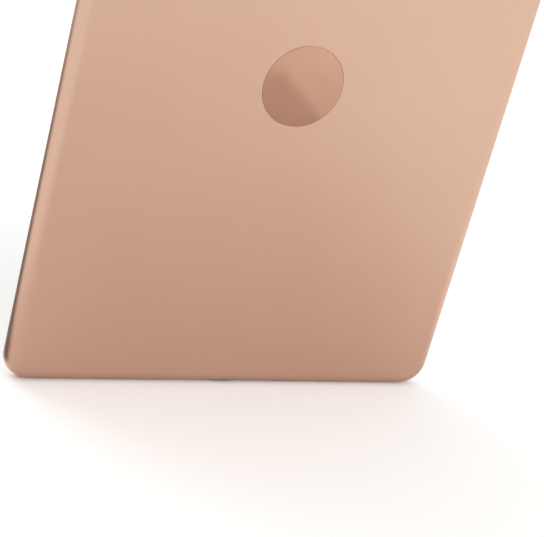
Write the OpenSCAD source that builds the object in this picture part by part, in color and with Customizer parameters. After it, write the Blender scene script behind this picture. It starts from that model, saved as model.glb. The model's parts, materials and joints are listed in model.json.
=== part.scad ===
// Tablet computer: a one-piece metal back, a bonded glass front, and sprung buttons.
// Every piece is drawn with the tablet lying on its back, screen up: x is the width, y the
// length from the bottom edge to the top, and z the height above the flat back.
// upright() then stands it on its bottom edge with the screen facing -Y.

/* [Body] */
// Width across the two long sides
body_w = 169.5; // [168:0.5:210]
// Length from the bottom edge to the top edge
body_l = 240; // [238:0.5:300]
// Thickness from the flat back to the face of the glass
body_t = 6.1; // [6.1:0.1:8]
// Corner radius, seen from the front
corner_r = 9.5; // [9:0.25:14]
// Radius that rolls the sides into the back
back_edge_r = 4.6; // [4.2:0.1:5]
// Thickness of the flat back wall
back_wall = 0.9; // [0.9:0.05:1.1]
// Width of the metal rim around the glass
rim_w = 1.3; // [1:0.1:1.6]
// How far the rim stands below the face of the glass
rim_drop = 0.15; // [0.05:0.05:0.3]
// Polished chamfer on the rim's outer edge
rim_chamfer = 0.35; // [0.2:0.05:0.5]
// Width of the shelf that carries the glass
shelf_w = 1.2; // [1:0.1:1.6]
// Fillet between the inner wall and the floor
floor_fillet = 1.5; // [1.2:0.1:1.7]
// How far below the middle of the back a stand's pad touches
rest_below_centre = 28; // [20:1:60]

/* [Emblem] */
// Radius of the polished disc let into the back
emblem_r = 15; // [10:0.5:20]
// Thickness of the polished disc
emblem_t = 0.4; // [0.3:0.05:0.5]

/* [Display] */
// Thickness of the cover glass
glass_t = 0.7; // [0.5:0.05:0.85]
// Gap around the edge of the cover glass
glass_gap = 0.12; // [0.08:0.01:0.2]
// Thickness of the adhesive gasket under the glass
gasket_t = 0.3; // [0.2:0.05:0.35]
// Border beside the picture, measured from the body's side
side_border = 10.85; // [10:0.05:14]
// Border above and below the picture, measured from the body's end
end_border = 21.45; // [21:0.05:26]
// Thickness of the liquid crystal cell
cell_t = 0.8; // [0.6:0.05:0.85]
// How far the cell reaches past the picture
cell_margin = 1.5; // [1:0.1:2]
// Strip of the cell that carries its drivers, at the top end
driver_strip = 2; // [1.6:0.1:2.2]
// Thickness of the backlight
backlight_t = 0.8; // [0.6:0.05:0.9]
// How far the backlight reaches past the picture
backlight_margin = 2; // [1.6:0.1:2.4]

/* [Home button] */
// Outer radius of the home button's ring
home_r = 6.15; // [5.5:0.05:6.3]
// Width of the ring around the cap
home_ring_w = 0.7; // [0.5:0.05:1]
// Thickness of the cap
home_cap_t = 0.5; // [0.4:0.05:0.5]
// Thickness of the fingerprint sensor
sensor_t = 0.35; // [0.3:0.05:0.4]
// Travel of the home button
home_travel = 0.3; // [0.2:0.05:0.3]
// Clearance around the home button in the glass
home_gap = 0.15; // [0.1:0.01:0.2]

/* [Side buttons] */
// Length of each side button
button_l = 10.2; // [8:0.1:12.3]
// Height of each side button, across the edge
button_h = 2.2; // [1.8:0.1:2.4]
// How far each side button stands out of the edge
button_proud = 0.45; // [0.35:0.05:0.7]
// Clearance around each side button
button_gap = 0.12; // [0.08:0.01:0.2]
// Travel of each side button
button_travel = 0.3; // [0.2:0.05:0.4]
// Height of the side buttons' centre line above the back
button_z = 3.3; // [3.1:0.05:3.5]
// Power button's centre from the right side
power_inset = 22.75; // [21.5:0.25:26]
// Volume up button's centre from the top end
volume_from_top = 30; // [29:0.5:60]
// Gap between the two volume buttons
volume_gap = 3.3; // [2.2:0.1:9]

/* [Rear camera] */
// Camera's centre from the side and from the top end
camera_inset = 13; // [13:0.1:14]
// Outer radius of the raised ring
camera_ring_r = 5.6; // [5:0.1:6.8]
// How far the ring stands out of the back
ring_proud = 0.8; // [0.6:0.05:1.2]
// Radius of the camera's window
window_r = 3.6; // [3.5:0.05:4]
// Thickness of the camera's window
window_t = 0.4; // [0.3:0.05:0.45]
// Radius of the lens barrel
barrel_r = 3.1; // [2.5:0.05:3.1]
// Length of the lens barrel
barrel_l = 2.6; // [2.2:0.1:2.7]
// Focus travel of the lens barrel
focus_travel = 0.25; // [0.15:0.01:0.3]
// Side of the square camera body
camera_side = 9.2; // [8:0.1:9.2]
// Flash's centre below the camera's centre
flash_drop = 12.5; // [12:0.1:13]
// Radius of the flash's window
flash_r = 2.2; // [1.8:0.1:2.5]
// Radius of each microphone hole
mic_hole_r = 0.45; // [0.3:0.05:0.6]

/* [Sockets] */
// Radius of the headphone jack's bore
jack_r = 1.75; // [1.5:0.05:1.75]
// Depth of the headphone jack's bore
jack_depth = 14; // [12:0.5:15]
// Jack's centre from the left side
jack_inset = 20.75; // [19:0.25:22]
// Width of the charge port's opening
port_w = 7.6; // [6.5:0.1:9]
// Height of the charge port's opening
port_h = 2; // [1.6:0.1:2]
// Depth of the charge port
port_depth = 7.5; // [6:0.1:8.5]
// Distance between the accessory contacts
contact_pitch = 4.2; // [3.6:0.1:5]
// Radius of each accessory contact
contact_r = 0.8; // [0.6:0.05:0.9]

/* [Speakers] */
// Holes in each of the four rows
holes_per_row = 13; // [8:1:13]
// Radius of each speaker hole
speaker_hole_r = 0.6; // [0.4:0.05:0.7]
// Distance between the holes of a row
speaker_hole_pitch = 2.15; // [1.6:0.05:2.2]
// Row's middle from the centre of the edge
speaker_x = 36; // [36:0.5:38]
// Width of a speaker box
speaker_w = 30; // [30:0.5:31]
// Depth of a speaker box
speaker_d = 11; // [9:0.5:11.5]
// Height of a speaker box
speaker_h = 3.8; // [3.6:0.1:4]

/* [Inside] */
// Width of the logic board
board_w = 30.5; // [30.5:0.5:36]
// Thickness of the logic board and of every screwed lug
board_t = 0.8; // [0.6:0.05:0.85]
// Height of the screw bosses above the floor
boss_h = 0.4; // [0.4:0.05:0.5]
// Radius of a screw boss
boss_r = 1.6; // [1.4:0.05:1.7]
// Radius of a screw's thread
screw_r = 0.5; // [0.4:0.05:0.6]
// Radius of a screw's head
screw_head_r = 1.1; // [1:0.05:1.3]
// Space left over the batteries for swelling
swell_gap = 0.3; // [0.3:0.05:0.5]
// Distance from each end of the body to the batteries
battery_end = 27; // [26:0.5:40]
// Gap between the battery cells and what is beside them
battery_gap = 1; // [0.6:0.1:2]
// Length of one cover magnet
magnet_l = 14; // [8:0.5:20]
// Distance between the cover magnets
magnet_pitch = 25; // [22:0.5:30]

/* [Hidden] */
$fn = 64;

rose_gold = "#dcb7a2";
rose_polished = "#e3b59e";
glass_white = "#f4f2ef";
black_plastic = "#26262a";
flex_amber = "#b9772c";
steel = "#b9bcc0";
board_green = "#24513c";
gold = "#d8b25c";
foil_grey = "#8d9096";

slop = 0.05;      // gap between a piece and the seat it drops into
past = 1;         // how far a cutter runs past what it cuts
flex_t = 0.1;     // thickness of a flexible printed cable

// Heights above the back
floor_z = back_wall;
glass_z = body_t - glass_t;
cell_z = glass_z - cell_t;
light_z = cell_z - backlight_t;
shelf_z = glass_z - gasket_t;
rim_z = body_t - rim_drop;
boss_z = floor_z + boss_h;
lug_z = boss_z + board_t;
battery_h = light_z - swell_gap - floor_z;

// Plan of the glass recess and of the cavity below it
wall = rim_w + shelf_w;
recess_w = body_w - 2 * rim_w;
recess_l = body_l - 2 * rim_w;
recess_r = corner_r - rim_w;
cavity_w = body_w - 2 * wall;
cavity_l = body_l - 2 * wall;
cavity_r = corner_r - wall;

// Plan of the picture
picture_w = body_w - 2 * side_border;
picture_l = body_l - 2 * end_border;

// Cover glass and backlight
glass_chamfer = 0.12;
backlight_r = 1;
tray_band = 4;        // full thickness round the backlight's relieved middle
tray_relief = 0.1;

// Home button, from the face of the glass down
home_y = end_border / 2 - body_l / 2;
home_top_z = body_t - slop;
cup_floor_t = 0.15;
cup_z = home_top_z - home_cap_t - sensor_t - cup_floor_t;
cup_flange_r = home_r + 0.75;
home_gasket_in_r = cup_flange_r + 0.2;
home_gasket_out_r = home_gasket_in_r + 0.8;
home_dome_z = cup_z - home_travel - slop;
home_switch_t = 0.3;
bracket_t = 0.25;
home_plate_z = home_dome_z - home_switch_t - bracket_t;
home_plate_foot = 1.6;
home_foot_gap = 0.4;
home_plate_w = 2 * (home_gasket_out_r + home_plate_foot + home_foot_gap);
home_pad_side = 4.4;
home_dome_r = 1.6;
home_plate_l = 2 * home_r + 0.6;

// Side buttons and their switches, measured inwards from the cavity wall
volume_pitch = button_l + volume_gap;
face_step = 0.15;     // height and inset of the step round a button's face
flange_over = 0.9;    // how far the flange reaches past each end of the button
flange_t = 0.5;
flange_back = slop + flange_t;
dome_tip = flange_back + button_travel + slop;
dome_h = 0.2;
dome_r = 0.9;
switch_size = [4, 2, 0.4];
plate_front = dome_tip + dome_h + switch_size[2];
plate_t = 0.4;
plate_rise = 1.2;     // how far a plate stands above the button's centre line
plate_over = 1;       // how far a plate reaches past each end of its buttons
lug_r = 1.8;
lug_in = 3.7;     // lug's centre behind the cavity wall
power_x = body_w / 2 - power_inset;
power_lug_x = 4.5;
volume_y = body_l / 2 - volume_from_top - volume_pitch / 2;
volume_lug_x = 12;

// Rear camera, flash and microphone
camera_x = body_w / 2 - camera_inset;
camera_y = body_l / 2 - camera_inset;
camera_flange_r = camera_ring_r + 0.6;
camera_flange_t = 0.2;
ring_chamfer = 0.25;
window_seat = 0.05;   // how far the window lies below the ring's rim
window_lip = 0.6;     // how far the ring reaches under the window
window_lip_t = 0.2;
barrel_z = 0.35;
barrel_gap = 0.08;    // clearance of the barrel in its bore
barrel_air = 0.3;     // room round the barrel's nose in the ring
nose_wall = 0.6;      // wall of the barrel's dished nose
nose_step = 0.2;
nose_dish = [1, 0.6]; // how far the dish narrows, and its depth
camera_top_gap = 0.3; // air between the camera body and the glass
imager_size = [4.2, 3.6, 0.3];
bore_spare = focus_travel + imager_size[2] + slop;   // bore below the barrel
flash_y = camera_y - flash_drop;
flash_led_side = 4.6;
flash_led_z = [0.3, 1];
die_size = [1.4, 1.6];
die_x = 0.9;
mic_size = [3.4, 2.6, 1];
top_mic_l = 1.7;
rear_mic_y = (camera_y - camera_flange_r + flash_y + flash_led_side / 2) / 2;

// Sockets
jack_nose_r = jack_r + 0.25;
jack_x = jack_inset - body_w / 2;
jack_z = floor_z + jack_r + 0.35;
jack_side = 6;
jack_end = 1.2;       // closed end of the jack's body
jack_mouth = wall - 0.3;      // nominal mouth of the bore, out from the cavity wall
port_shell_t = 0.35;
port_z = floor_z + boss_h + slop + port_shell_t + port_h / 2 + 0.05;
port_ear_x = port_w / 2 + 3;
port_rear_t = 0.6;
blades = 8;
blade_w = 0.4;
blade_t = 0.2;
blade_pitch = 0.7;
blade_recess = 2.6;   // how much shorter the blades are than the port
pad_w = 2 * contact_pitch + 4 * contact_r + 1.2;
pad_h = 2.8 * contact_r + 0.4;
pad_back = 0.6;       // back face of the accessory pad, in from the cavity wall
pad_flange = 0.8;
pin_head_t = 0.4;
pin_head_over = 0.3;
flush_inset = 0.03;   // how far flush pieces lie below the outer surface

// Speakers
spout_l = floor_fillet + 0.1;
spout_h = 1.6;
screen_t = 0.2;
speaker_hole_z = 3.3;
speaker_lug_x = speaker_w / 2 + 1.9;
speaker_wall = 0.5;
driver_w = 18;
driver_l = 8;
driver_t = 0.8;
driver_lip = 0.9;
driver_r = 1.8;
driver_hole_r = 1;
cone_gap = 0.2;
cone_rise = 0.3;
spout_side = 0.8;
spout_wall = 0.3;
speaker_lug_in = 3;
speaker_lug_bar = 2;

// Logic board and batteries
board_right = cavity_w / 2 - 5.75;
board_left = board_right - board_w;
board_top = flash_y - flash_led_side / 2 - 1;
board_bottom = picture_l / -2 - cell_margin;
battery_l = body_l - 2 * battery_end;
battery_left_x = 3.75 - cavity_w / 2;
battery_w = (board_left - battery_gap - battery_left_x - battery_gap) / 2;
shield_margin = 4.5;
shield_w = board_w - 2 * shield_margin - 1;
shield_x = (board_left + board_right) / 2;
shield_h = 1.2;
shield_skin = 0.15;
// Middle and length of each shield along the board
shields = [[board_top - 42, 52], [board_top - 96, 44], [board_bottom + 24, 22]];
chip_h = 0.9;
processor_up = 8;     // processor's centre above the middle of its shield
processor_side = 14;
processor_cap = 11.5;
// Chips as [shield, x and y from its middle, width, length]
chips = [[0, 0, -13, 14, 18], [1, -3, 9, 9, 9], [1, 3, -8, 7, 7], [2, 0, 0, 8, 10]];
spreader_t = 0.1;
// Protection board across the lower ends of the cells
guard_l = 4;
guard_gap = 0.4;
guard_left = 10;      // how far it reaches over the left cell
guard_lap = 6;        // how far it reaches over the logic board
guard_foot = [3, 2.4];
guard_foot_x = 6;
// Battery pouches
battery_r = 2.5;
seam_in = 0.3;
seam_end = 6;
// Printed cables
flex_lap = 5;         // how far a cable runs onto the board
plug_l = 3;           // length and height of its connector
plug_t = 0.3;
flex_fold = 0.3;      // gap between the backlight and the folded display cable
camera_flex_l = 5;
camera_flex_w = 4;
camera_flex_drop = 3;
button_flex_h = 1.4;
button_flex_end = 6;  // how far the ribbon runs past the last button
tail_lap = 2;
home_plug = [3.5, 1.5, 0.4];
home_plug_inset = 0.5;
port_flex_w = 6;
port_tab_x = 3;
port_tab_lap = 4;
// Front camera and light sensor
front_camera_side = 6.6;
front_camera_lift = 1.3;
front_cone = [1.2, 2, 0.5];
light_sensor_x = -11;
light_sensor_size = [3, 2.2, 1];
channel_y = board_bottom - 3.3;   // middle of the cable channel below the board
channel_w = 2;
display_flex_x = board_left + 8;
display_flex_w = 12;

// Screws as [x, y]: board, speakers, button brackets, jack, port and antennas
board_in = 2.2;
board_screws = [[board_right - board_in, board_bottom + 4], [board_left + board_in, board_bottom + 14],
                [board_right - board_in, -10], [board_left + board_in, 8],
                [board_left + board_in, board_top - 12], [board_right - board_in, board_top - 20]];
speaker_screws = [for (end = [-1, 1], side = [-1, 1], lug = [-1, 1])
                  [side * speaker_x + lug * speaker_lug_x, end * (cavity_l / 2 - spout_l - speaker_lug_in)]];
power_screws = [for (s = [-1, 1]) [power_x + s * power_lug_x, cavity_l / 2 - lug_in]];
volume_screws = [for (s = [-1, 1]) [cavity_w / 2 - lug_in, volume_y + s * volume_lug_x]];
port_screws = [for (s = [-1, 1]) [s * port_ear_x, lug_in - cavity_l / 2]];
jack_screw = [jack_x + jack_side / 2 + lug_r, cavity_l / 2 - 7];
antenna_w = 16;
antenna_l = 7.5;
antenna_drop = 0.5;   // how far the carrier's top lies below the shelf
trace_w = 0.8;
trace_t = 0.1;
trace_pitch = 2.6;
trace_end = 0.75;
antenna_x = cavity_w / 2 - 15.25;
antenna_y = 6.75 - cavity_l / 2;
antenna_screws = [for (s = [-1, 1]) [s * (antenna_x - antenna_w / 2 - lug_r), antenna_y]];
screw_spots = concat(board_screws, speaker_screws, power_screws, volume_screws, port_screws,
                     [jack_screw], antenna_screws);
magnet_start = 5;
magnet_t = 1.8;
magnet_z = [0.1, 1.7];
screw_floor = 0.4;    // metal left under a screw hole
screw_head_h = 0.5;
slot_w = 0.25;
slot_l = 1.3;

// Stands the tablet on its bottom edge, with the origin where a stand touches the back
module upright() translate([0, 0, rest_below_centre]) rotate([90, 0, 0]) children();

// Places children at a cavity wall: y points out through it. 0 is the top edge and the
// angle goes round to the left side (90), the bottom edge (180) and the right side (270).
module at_wall(angle, along = 0)
    rotate(angle) translate([along, (angle % 180 == 0 ? cavity_l : cavity_w) / 2, 0]) children();

module rounded_rect(w, l, r) {
    square([w - 2 * r, l], center = true);
    square([w, l - 2 * r], center = true);
    for (sx = [-1, 1], sy = [-1, 1]) translate([sx * (w / 2 - r), sy * (l / 2 - r)]) circle(r);
}

// Plate with round plan corners
module plate(w, l, r, h) linear_extrude(h) rounded_rect(w, l, r);

// Flat frame between two rounded outlines
module frame(w, l, r, band, h)
    difference() {
        plate(w, l, r, h);
        translate([0, 0, -past]) plate(w - 2 * band, l - 2 * band, r - band, h + 2 * past);
    }

// Block with round plan corners, a rounded lower edge and a chamfered upper edge
module slab(w, l, r, edge_r, h, chamfer = 0) {
    module profile() difference() {
        square([r, h]);
        if (edge_r > 0) difference() {
            translate([r - edge_r, -past]) square([edge_r + past, edge_r + past]);
            translate([r - edge_r, edge_r]) circle(edge_r);
        }
        if (chamfer > 0) translate([r, h]) rotate(45) square(chamfer * sqrt(2), center = true);
    }
    translate([r - w / 2, r - l / 2, 0]) cube([w - 2 * r, l - 2 * r, h]);
    for (turn = [0 : 3]) {
        across = turn % 2 == 0 ? w : l;
        along = turn % 2 == 0 ? l : w;
        rotate(90 * turn) translate([across / 2 - r, along / 2 - r, 0]) {
            rotate_extrude(angle = 90) profile();
            rotate([90, 0, 0]) linear_extrude(along - 2 * r) profile();
        }
    }
}

// The body's outer surface moved inwards, which trims pieces that end flush with it
module outer_limit(inset)
    translate([0, 0, inset])
        slab(body_w - 2 * inset, body_l - 2 * inset, corner_r - inset, back_edge_r - inset, body_t);

// Flat bar with round ends, in the plane of a side wall, from depth y0 to y1
module wall_slot(l, h, z, y0, y1)
    translate([0, y1, z]) rotate([90, 0, 0]) linear_extrude(y1 - y0) {
        square([l - h, h], center = true);
        for (s = [-1, 1]) translate([s * (l - h) / 2, 0]) circle(h / 2);
    }

// Round bar through a side wall, from depth y0 to y1
module wall_rod(r, z, y0, y1) translate([0, y0, z]) rotate([-90, 0, 0]) cylinder(r = r, h = y1 - y0);

// Box centred on x and y
module block(w, l, z0, z1) translate([-w / 2, -l / 2, z0]) cube([w, l, z1 - z0]);

// Screwed ear on a boss, joined to the piece by a bar that runs dx, dy from the ear's centre
module lug(x, y, dx, dy) {
    difference() {
        union() {
            translate([x, y, boss_z]) cylinder(r = lug_r, h = board_t);
            translate([min(x, x + dx) - (dx == 0 ? lug_r / 2 : 0),
                       min(y, y + dy) - (dy == 0 ? lug_r / 2 : 0), boss_z])
                cube([dx == 0 ? lug_r : abs(dx), dy == 0 ? lug_r : abs(dy), board_t]);
        }
        translate([x, y, 0]) cylinder(r = screw_r + slop, h = body_t);
    }
}

module speaker_row()
    for (i = [0 : holes_per_row - 1])
        translate([(i - (holes_per_row - 1) / 2) * speaker_hole_pitch, 0, 0])
            wall_rod(speaker_hole_r, speaker_hole_z, -past, wall + past);

module button_slot()
    wall_slot(button_l + 2 * button_gap, button_h + 2 * button_gap, button_z, -past, wall + past);

// One-piece metal tray: flat back, rolled sides, rim and shelf for the glass
module rear_housing() color(rose_gold) upright() difference() {
    union() {
        difference() {
            slab(body_w, body_l, corner_r, back_edge_r, rim_z, rim_chamfer);
            translate([0, 0, shelf_z]) plate(recess_w, recess_l, recess_r, body_t);
            translate([0, 0, floor_z]) slab(cavity_w, cavity_l, cavity_r, floor_fillet, body_t);
        }
        for (p = screw_spots) translate([p[0], p[1], floor_z / 2])
            cylinder(r = boss_r, h = boss_z - floor_z / 2);
    }
    for (p = screw_spots) translate([p[0], p[1], screw_floor]) cylinder(r = screw_r + slop, h = body_t);
    translate([0, 0, -past]) cylinder(r = emblem_r + slop, h = emblem_t + past);
    translate([camera_x, camera_y, -past]) cylinder(r = camera_ring_r + slop, h = back_wall + 2 * past);
    translate([camera_x, flash_y, -past]) cylinder(r = flash_r + slop, h = back_wall + 2 * past);
    translate([camera_x, rear_mic_y, -past]) cylinder(r = mic_hole_r, h = back_wall + 2 * past);
    at_wall(0) wall_rod(mic_hole_r, speaker_hole_z, -past, wall + past);
    for (end = [0, 180], side = [-1, 1]) at_wall(end, side * speaker_x) speaker_row();
    at_wall(0, power_x) button_slot();
    for (s = [-1, 1]) at_wall(270, s * volume_pitch / 2 - volume_y) button_slot();
    at_wall(0, jack_x) wall_rod(jack_nose_r + slop, jack_z, -2 * spout_l, wall + past);
    at_wall(180) wall_slot(port_w + 2 * (port_shell_t + slop), port_h + 2 * (port_shell_t + slop),
                           port_z, -2 * spout_l, wall + past);
    at_wall(90) wall_slot(pad_w + 2 * slop, pad_h + 2 * slop, button_z, -past, wall + past);
}

// Polished disc, flush with the back
module rear_emblem() color(rose_polished) upright() cylinder(r = emblem_r, h = emblem_t);

// Raised ring that holds the camera's window, pushed through the back wall from inside
module camera_ring() color(rose_polished) upright() translate([camera_x, camera_y, 0]) {
    aperture_r = window_r - window_lip;
    seat_z = window_seat + window_t - ring_proud;
    rotate_extrude() difference() {
        union() {
            translate([0, -ring_proud]) square([camera_ring_r, ring_proud + back_wall]);
            translate([0, back_wall]) square([camera_flange_r, camera_flange_t]);
        }
        translate([-past, -ring_proud - past]) square([past + window_r + slop, seat_z + ring_proud + past]);
        translate([-past, seat_z - past]) square([past + aperture_r, back_wall + 2 * past]);
        translate([-past, seat_z + window_lip_t]) square([past + barrel_r + barrel_air, back_wall + past]);
        translate([camera_ring_r, -ring_proud]) rotate(45) square(ring_chamfer * sqrt(2), center = true);
    }
}

module camera_window() color("#20242c") upright()
    translate([camera_x, camera_y, window_seat - ring_proud]) cylinder(r = window_r, h = window_t);

// Square camera body with the bore that the lens barrel slides in
module camera_body() color(black_plastic) upright() translate([camera_x, camera_y, 0])
    difference() {
        block(camera_side, camera_side, floor_z + camera_flange_t, glass_z - camera_top_gap);
        translate([0, 0, -past])
            cylinder(r = barrel_r + barrel_gap, h = past + barrel_z + barrel_l + bore_spare);
    }

// Lens barrel with a dished front
module lens_barrel() color("#30343a") upright() translate([camera_x, camera_y, barrel_z])
    difference() {
        cylinder(r = barrel_r, h = barrel_l);
        translate([0, 0, -past]) cylinder(r = barrel_r - nose_wall, h = past + nose_step);
        translate([0, 0, nose_step])
            cylinder(r1 = barrel_r - nose_wall, r2 = barrel_r - nose_wall - nose_dish[0], h = nose_dish[1]);
    }

// Image sensor at the bottom of the camera's bore
module camera_sensor() color("#3c6e54") upright()
    translate([camera_x, camera_y, barrel_z + barrel_l + bore_spare - imager_size[2]])
        block(imager_size[0], imager_size[1], 0, imager_size[2]);

// Cable from the camera to the board, with its connector
module camera_flex() color(flex_amber) upright() {
    x0 = camera_x - camera_side / 2 - camera_flex_l;
    y0 = camera_y - camera_flex_drop;
    z = lug_z + plug_t;
    translate([x0, y0, z]) cube([camera_flex_l, camera_flex_l, flex_t]);
    translate([x0, board_top - flex_lap, z]) cube([camera_flex_w, y0 - board_top + flex_lap, flex_t]);
    translate([x0, board_top - flex_lap, lug_z]) cube([camera_flex_w, plug_l, plug_t]);
}

module flash_window() color("#f3ead2") upright()
    translate([camera_x, flash_y, 0]) cylinder(r = flash_r, h = back_wall);

module flash_led() color("#e8d27a") upright()
    translate([camera_x, flash_y, 0]) {
        block(flash_led_side, flash_led_side, floor_z + flash_led_z[0], floor_z + flash_led_z[1]);
        for (s = [-1, 1]) translate([s * die_x, 0, 0])
            block(die_size[0], die_size[1], floor_z, floor_z + flash_led_z[0]);
    }

// Microphone capsule with its sound port
module microphone(w, l, h) difference() {
    block(w, l, 0, h);
    translate([0, 0, -past]) cylinder(r = mic_hole_r, h = past + h / 2);
}

module rear_microphone() color(gold) upright()
    translate([camera_x, rear_mic_y, floor_z]) microphone(mic_size[0], mic_size[1], mic_size[2]);

module top_microphone() color(gold) upright()
    at_wall(0) translate([0, 0, speaker_hole_z]) rotate([90, 0, 0])
        microphone(mic_size[0], top_mic_l, mic_size[2]);

// Cover glass with the home button's hole
module cover_glass() color(glass_white) upright() difference() {
    inset = rim_w + glass_gap;
    translate([0, 0, glass_z])
        slab(body_w - 2 * inset, body_l - 2 * inset, corner_r - inset, 0, glass_t, glass_chamfer);
    translate([0, home_y, 0]) cylinder(r = home_r + home_gap, h = body_t + past);
}

// Adhesive frame between the shelf and the glass
module display_gasket() color(black_plastic) upright() translate([0, 0, shelf_z])
    frame(recess_w - 2 * slop, recess_l - 2 * slop, recess_r - slop, shelf_w - slop, gasket_t);

module display_cell() color("#1b1d24") upright() {
    w = picture_w + 2 * cell_margin;
    l = picture_l + 2 * cell_margin;
    translate([-w / 2, -l / 2, cell_z]) cube([w, l + driver_strip, cell_t]);
}

// Backlight tray with a raised light guide
module backlight() color("#e9e9e6") upright() {
    w = picture_w + 2 * backlight_margin;
    l = picture_l + 2 * backlight_margin;
    translate([0, 0, light_z]) difference() {
        plate(w, l, backlight_r, backlight_t);
        translate([0, 0, -past])
            plate(w - 2 * tray_band, l - 2 * tray_band, backlight_r, past + tray_relief);
    }
}

// Cable from the display's driver strip down and back to the board
module display_flex() color(flex_amber) upright() {
    y_strip = picture_l / 2 + cell_margin;
    y_fold = picture_l / 2 + backlight_margin + flex_fold;
    z_low = lug_z + plug_t;
    translate([display_flex_x - display_flex_w / 2, 0, 0]) {
        translate([0, y_fold, cell_z - flex_t])
            cube([display_flex_w, y_strip + driver_strip - y_fold, flex_t]);
        translate([0, y_fold, z_low]) cube([display_flex_w, flex_t, cell_z - z_low]);
        translate([0, board_top - flex_lap, z_low])
            cube([display_flex_w, y_fold - board_top + flex_lap, flex_t]);
        translate([0, board_top - flex_lap, lug_z]) cube([display_flex_w, plug_l, plug_t]);
    }
}

module home_cap() color(glass_white) upright()
    translate([0, home_y, home_top_z - home_cap_t]) cylinder(r = home_r - home_ring_w - slop, h = home_cap_t);

// Ring and cup around the cap, with the flange that keeps it under the glass
module home_ring() color(rose_polished) upright() translate([0, home_y, cup_z])
    difference() {
        union() {
            cylinder(r = home_r, h = home_top_z - cup_z);
            cylinder(r = cup_flange_r, h = cup_floor_t);
        }
        translate([0, 0, cup_floor_t]) cylinder(r = home_r - home_ring_w, h = body_t);
    }

module fingerprint_sensor() color(black_plastic) upright()
    translate([0, home_y, cup_z + cup_floor_t]) cylinder(r = home_r - home_ring_w - slop, h = sensor_t);

// Soft seal around the cup
module home_gasket() color("#4a4a4e") upright()
    translate([0, home_y, home_plate_z + bracket_t]) difference() {
        h = glass_z - home_plate_z - bracket_t;
        cylinder(r = home_gasket_out_r, h = h);
        translate([0, 0, -past]) cylinder(r = home_gasket_in_r, h = h + 2 * past);
    }

// Dome switch under the home button
module home_switch() color(steel) upright() translate([0, home_y, home_plate_z + bracket_t]) {
    block(home_pad_side, home_pad_side, 0, home_switch_t / 2);
    cylinder(r = home_dome_r, h = home_switch_t);
}

// Bridge bonded under the glass that carries the switch
module home_bracket() color(steel) upright() translate([0, home_y, home_plate_z]) {
    block(home_plate_w, home_plate_l, 0, bracket_t);
    for (s = [-1, 1]) translate([s * (home_plate_w - home_plate_foot) / 2, 0, 0])
        block(home_plate_foot, home_plate_l, 0, glass_z - home_plate_z);
}

// Cable from the home button's bridge along the channel to the board
module home_flex() color(flex_amber) upright() {
    x0 = home_plate_w / 2;
    y0 = channel_y - channel_w / 2;
    z = lug_z + home_plug[2];
    tab_x = board_left + home_plug_inset;
    plug_y = board_bottom + home_plug_inset;
    translate([x0, y0, z]) cube([flex_t, channel_w, home_plate_z + bracket_t - z]);
    translate([x0, y0, z]) cube([tab_x + home_plug[0] - x0, channel_w, flex_t]);
    translate([tab_x, y0, z]) cube([home_plug[0], plug_y + home_plug[1] - y0, flex_t]);
    translate([tab_x, plug_y, lug_z]) cube(home_plug);
}

// Front camera with its lens, close under the glass
module front_camera() color(black_plastic) upright() translate([0, -home_y, 0]) difference() {
    block(front_camera_side, front_camera_side, floor_z + front_camera_lift, glass_z);
    translate([0, 0, glass_z - front_cone[2]])
        cylinder(r1 = front_cone[0], r2 = front_cone[1], h = front_cone[2]);
}

module light_sensor() color("#5b4a63") upright()
    translate([light_sensor_x, -home_y, 0])
        block(light_sensor_size[0], light_sensor_size[1], glass_z - light_sensor_size[2], glass_z);

// Side button: a round-ended key with a stepped face and a flange inside the wall
module side_button() {
    face = wall + button_proud;
    wall_slot(button_l, button_h, button_z, -slop, face - face_step);
    wall_slot(button_l - 2 * face_step, button_h - 2 * face_step, button_z, face - face_step, face);
    wall_slot(button_l + 2 * flange_over, button_h, button_z, -flange_back, -slop);
}

// Dome switch that faces a side button
module side_switch() {
    translate([0, -plate_front, button_z]) rotate([-90, 0, 0])
        block(switch_size[0], switch_size[1], 0, switch_size[2]);
    wall_rod(dome_r, button_z, -plate_front + switch_size[2], -dome_tip);
}

// Upright plate behind one or two switches, with two screwed ears
module button_plate(w, lug_x) {
    translate([-w / 2, -plate_front - plate_t, boss_z]) cube([w, plate_t, button_z + plate_rise - boss_z]);
    for (s = [-1, 1]) lug(s * lug_x, -lug_in, 0, lug_in - plate_front - plate_t / 2);
}

module power_button() color(rose_gold) upright() at_wall(0, power_x) side_button();
module power_switch() color(steel) upright() at_wall(0, power_x) side_switch();
module power_bracket() color(steel) upright()
    at_wall(0, power_x) button_plate(button_l + 2 * plate_over, power_lug_x);

module volume_up_button() color(rose_gold) upright()
    at_wall(270, -volume_y - volume_pitch / 2) side_button();
module volume_down_button() color(rose_gold) upright()
    at_wall(270, -volume_y + volume_pitch / 2) side_button();
module volume_switches() color(steel) upright()
    for (s = [-1, 1]) at_wall(270, -volume_y + s * volume_pitch / 2) side_switch();
module volume_bracket() color(steel) upright()
    at_wall(270, -volume_y) button_plate(volume_pitch + button_l + 2 * plate_over, volume_lug_x);

// Ribbon on edge behind the button plates, round the corner, with a tail to the board
module button_flex() color(flex_amber) upright() {
    inset = plate_front + plate_t;
    z = lug_z + flex_t;
    tail_y = volume_y - volume_pitch / 2 - button_l / 2 - button_flex_end;
    intersection() {
        translate([0, 0, z])
            frame(cavity_w - 2 * inset, cavity_l - 2 * inset, cavity_r - inset, flex_t, button_flex_h);
        translate([power_x - button_flex_end, tail_y, 0]) cube([body_w, body_l, body_t]);
    }
    translate([board_right - tail_lap, tail_y, z])
        cube([cavity_w / 2 - inset - board_right + tail_lap, plug_l, flex_t]);
}

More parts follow.
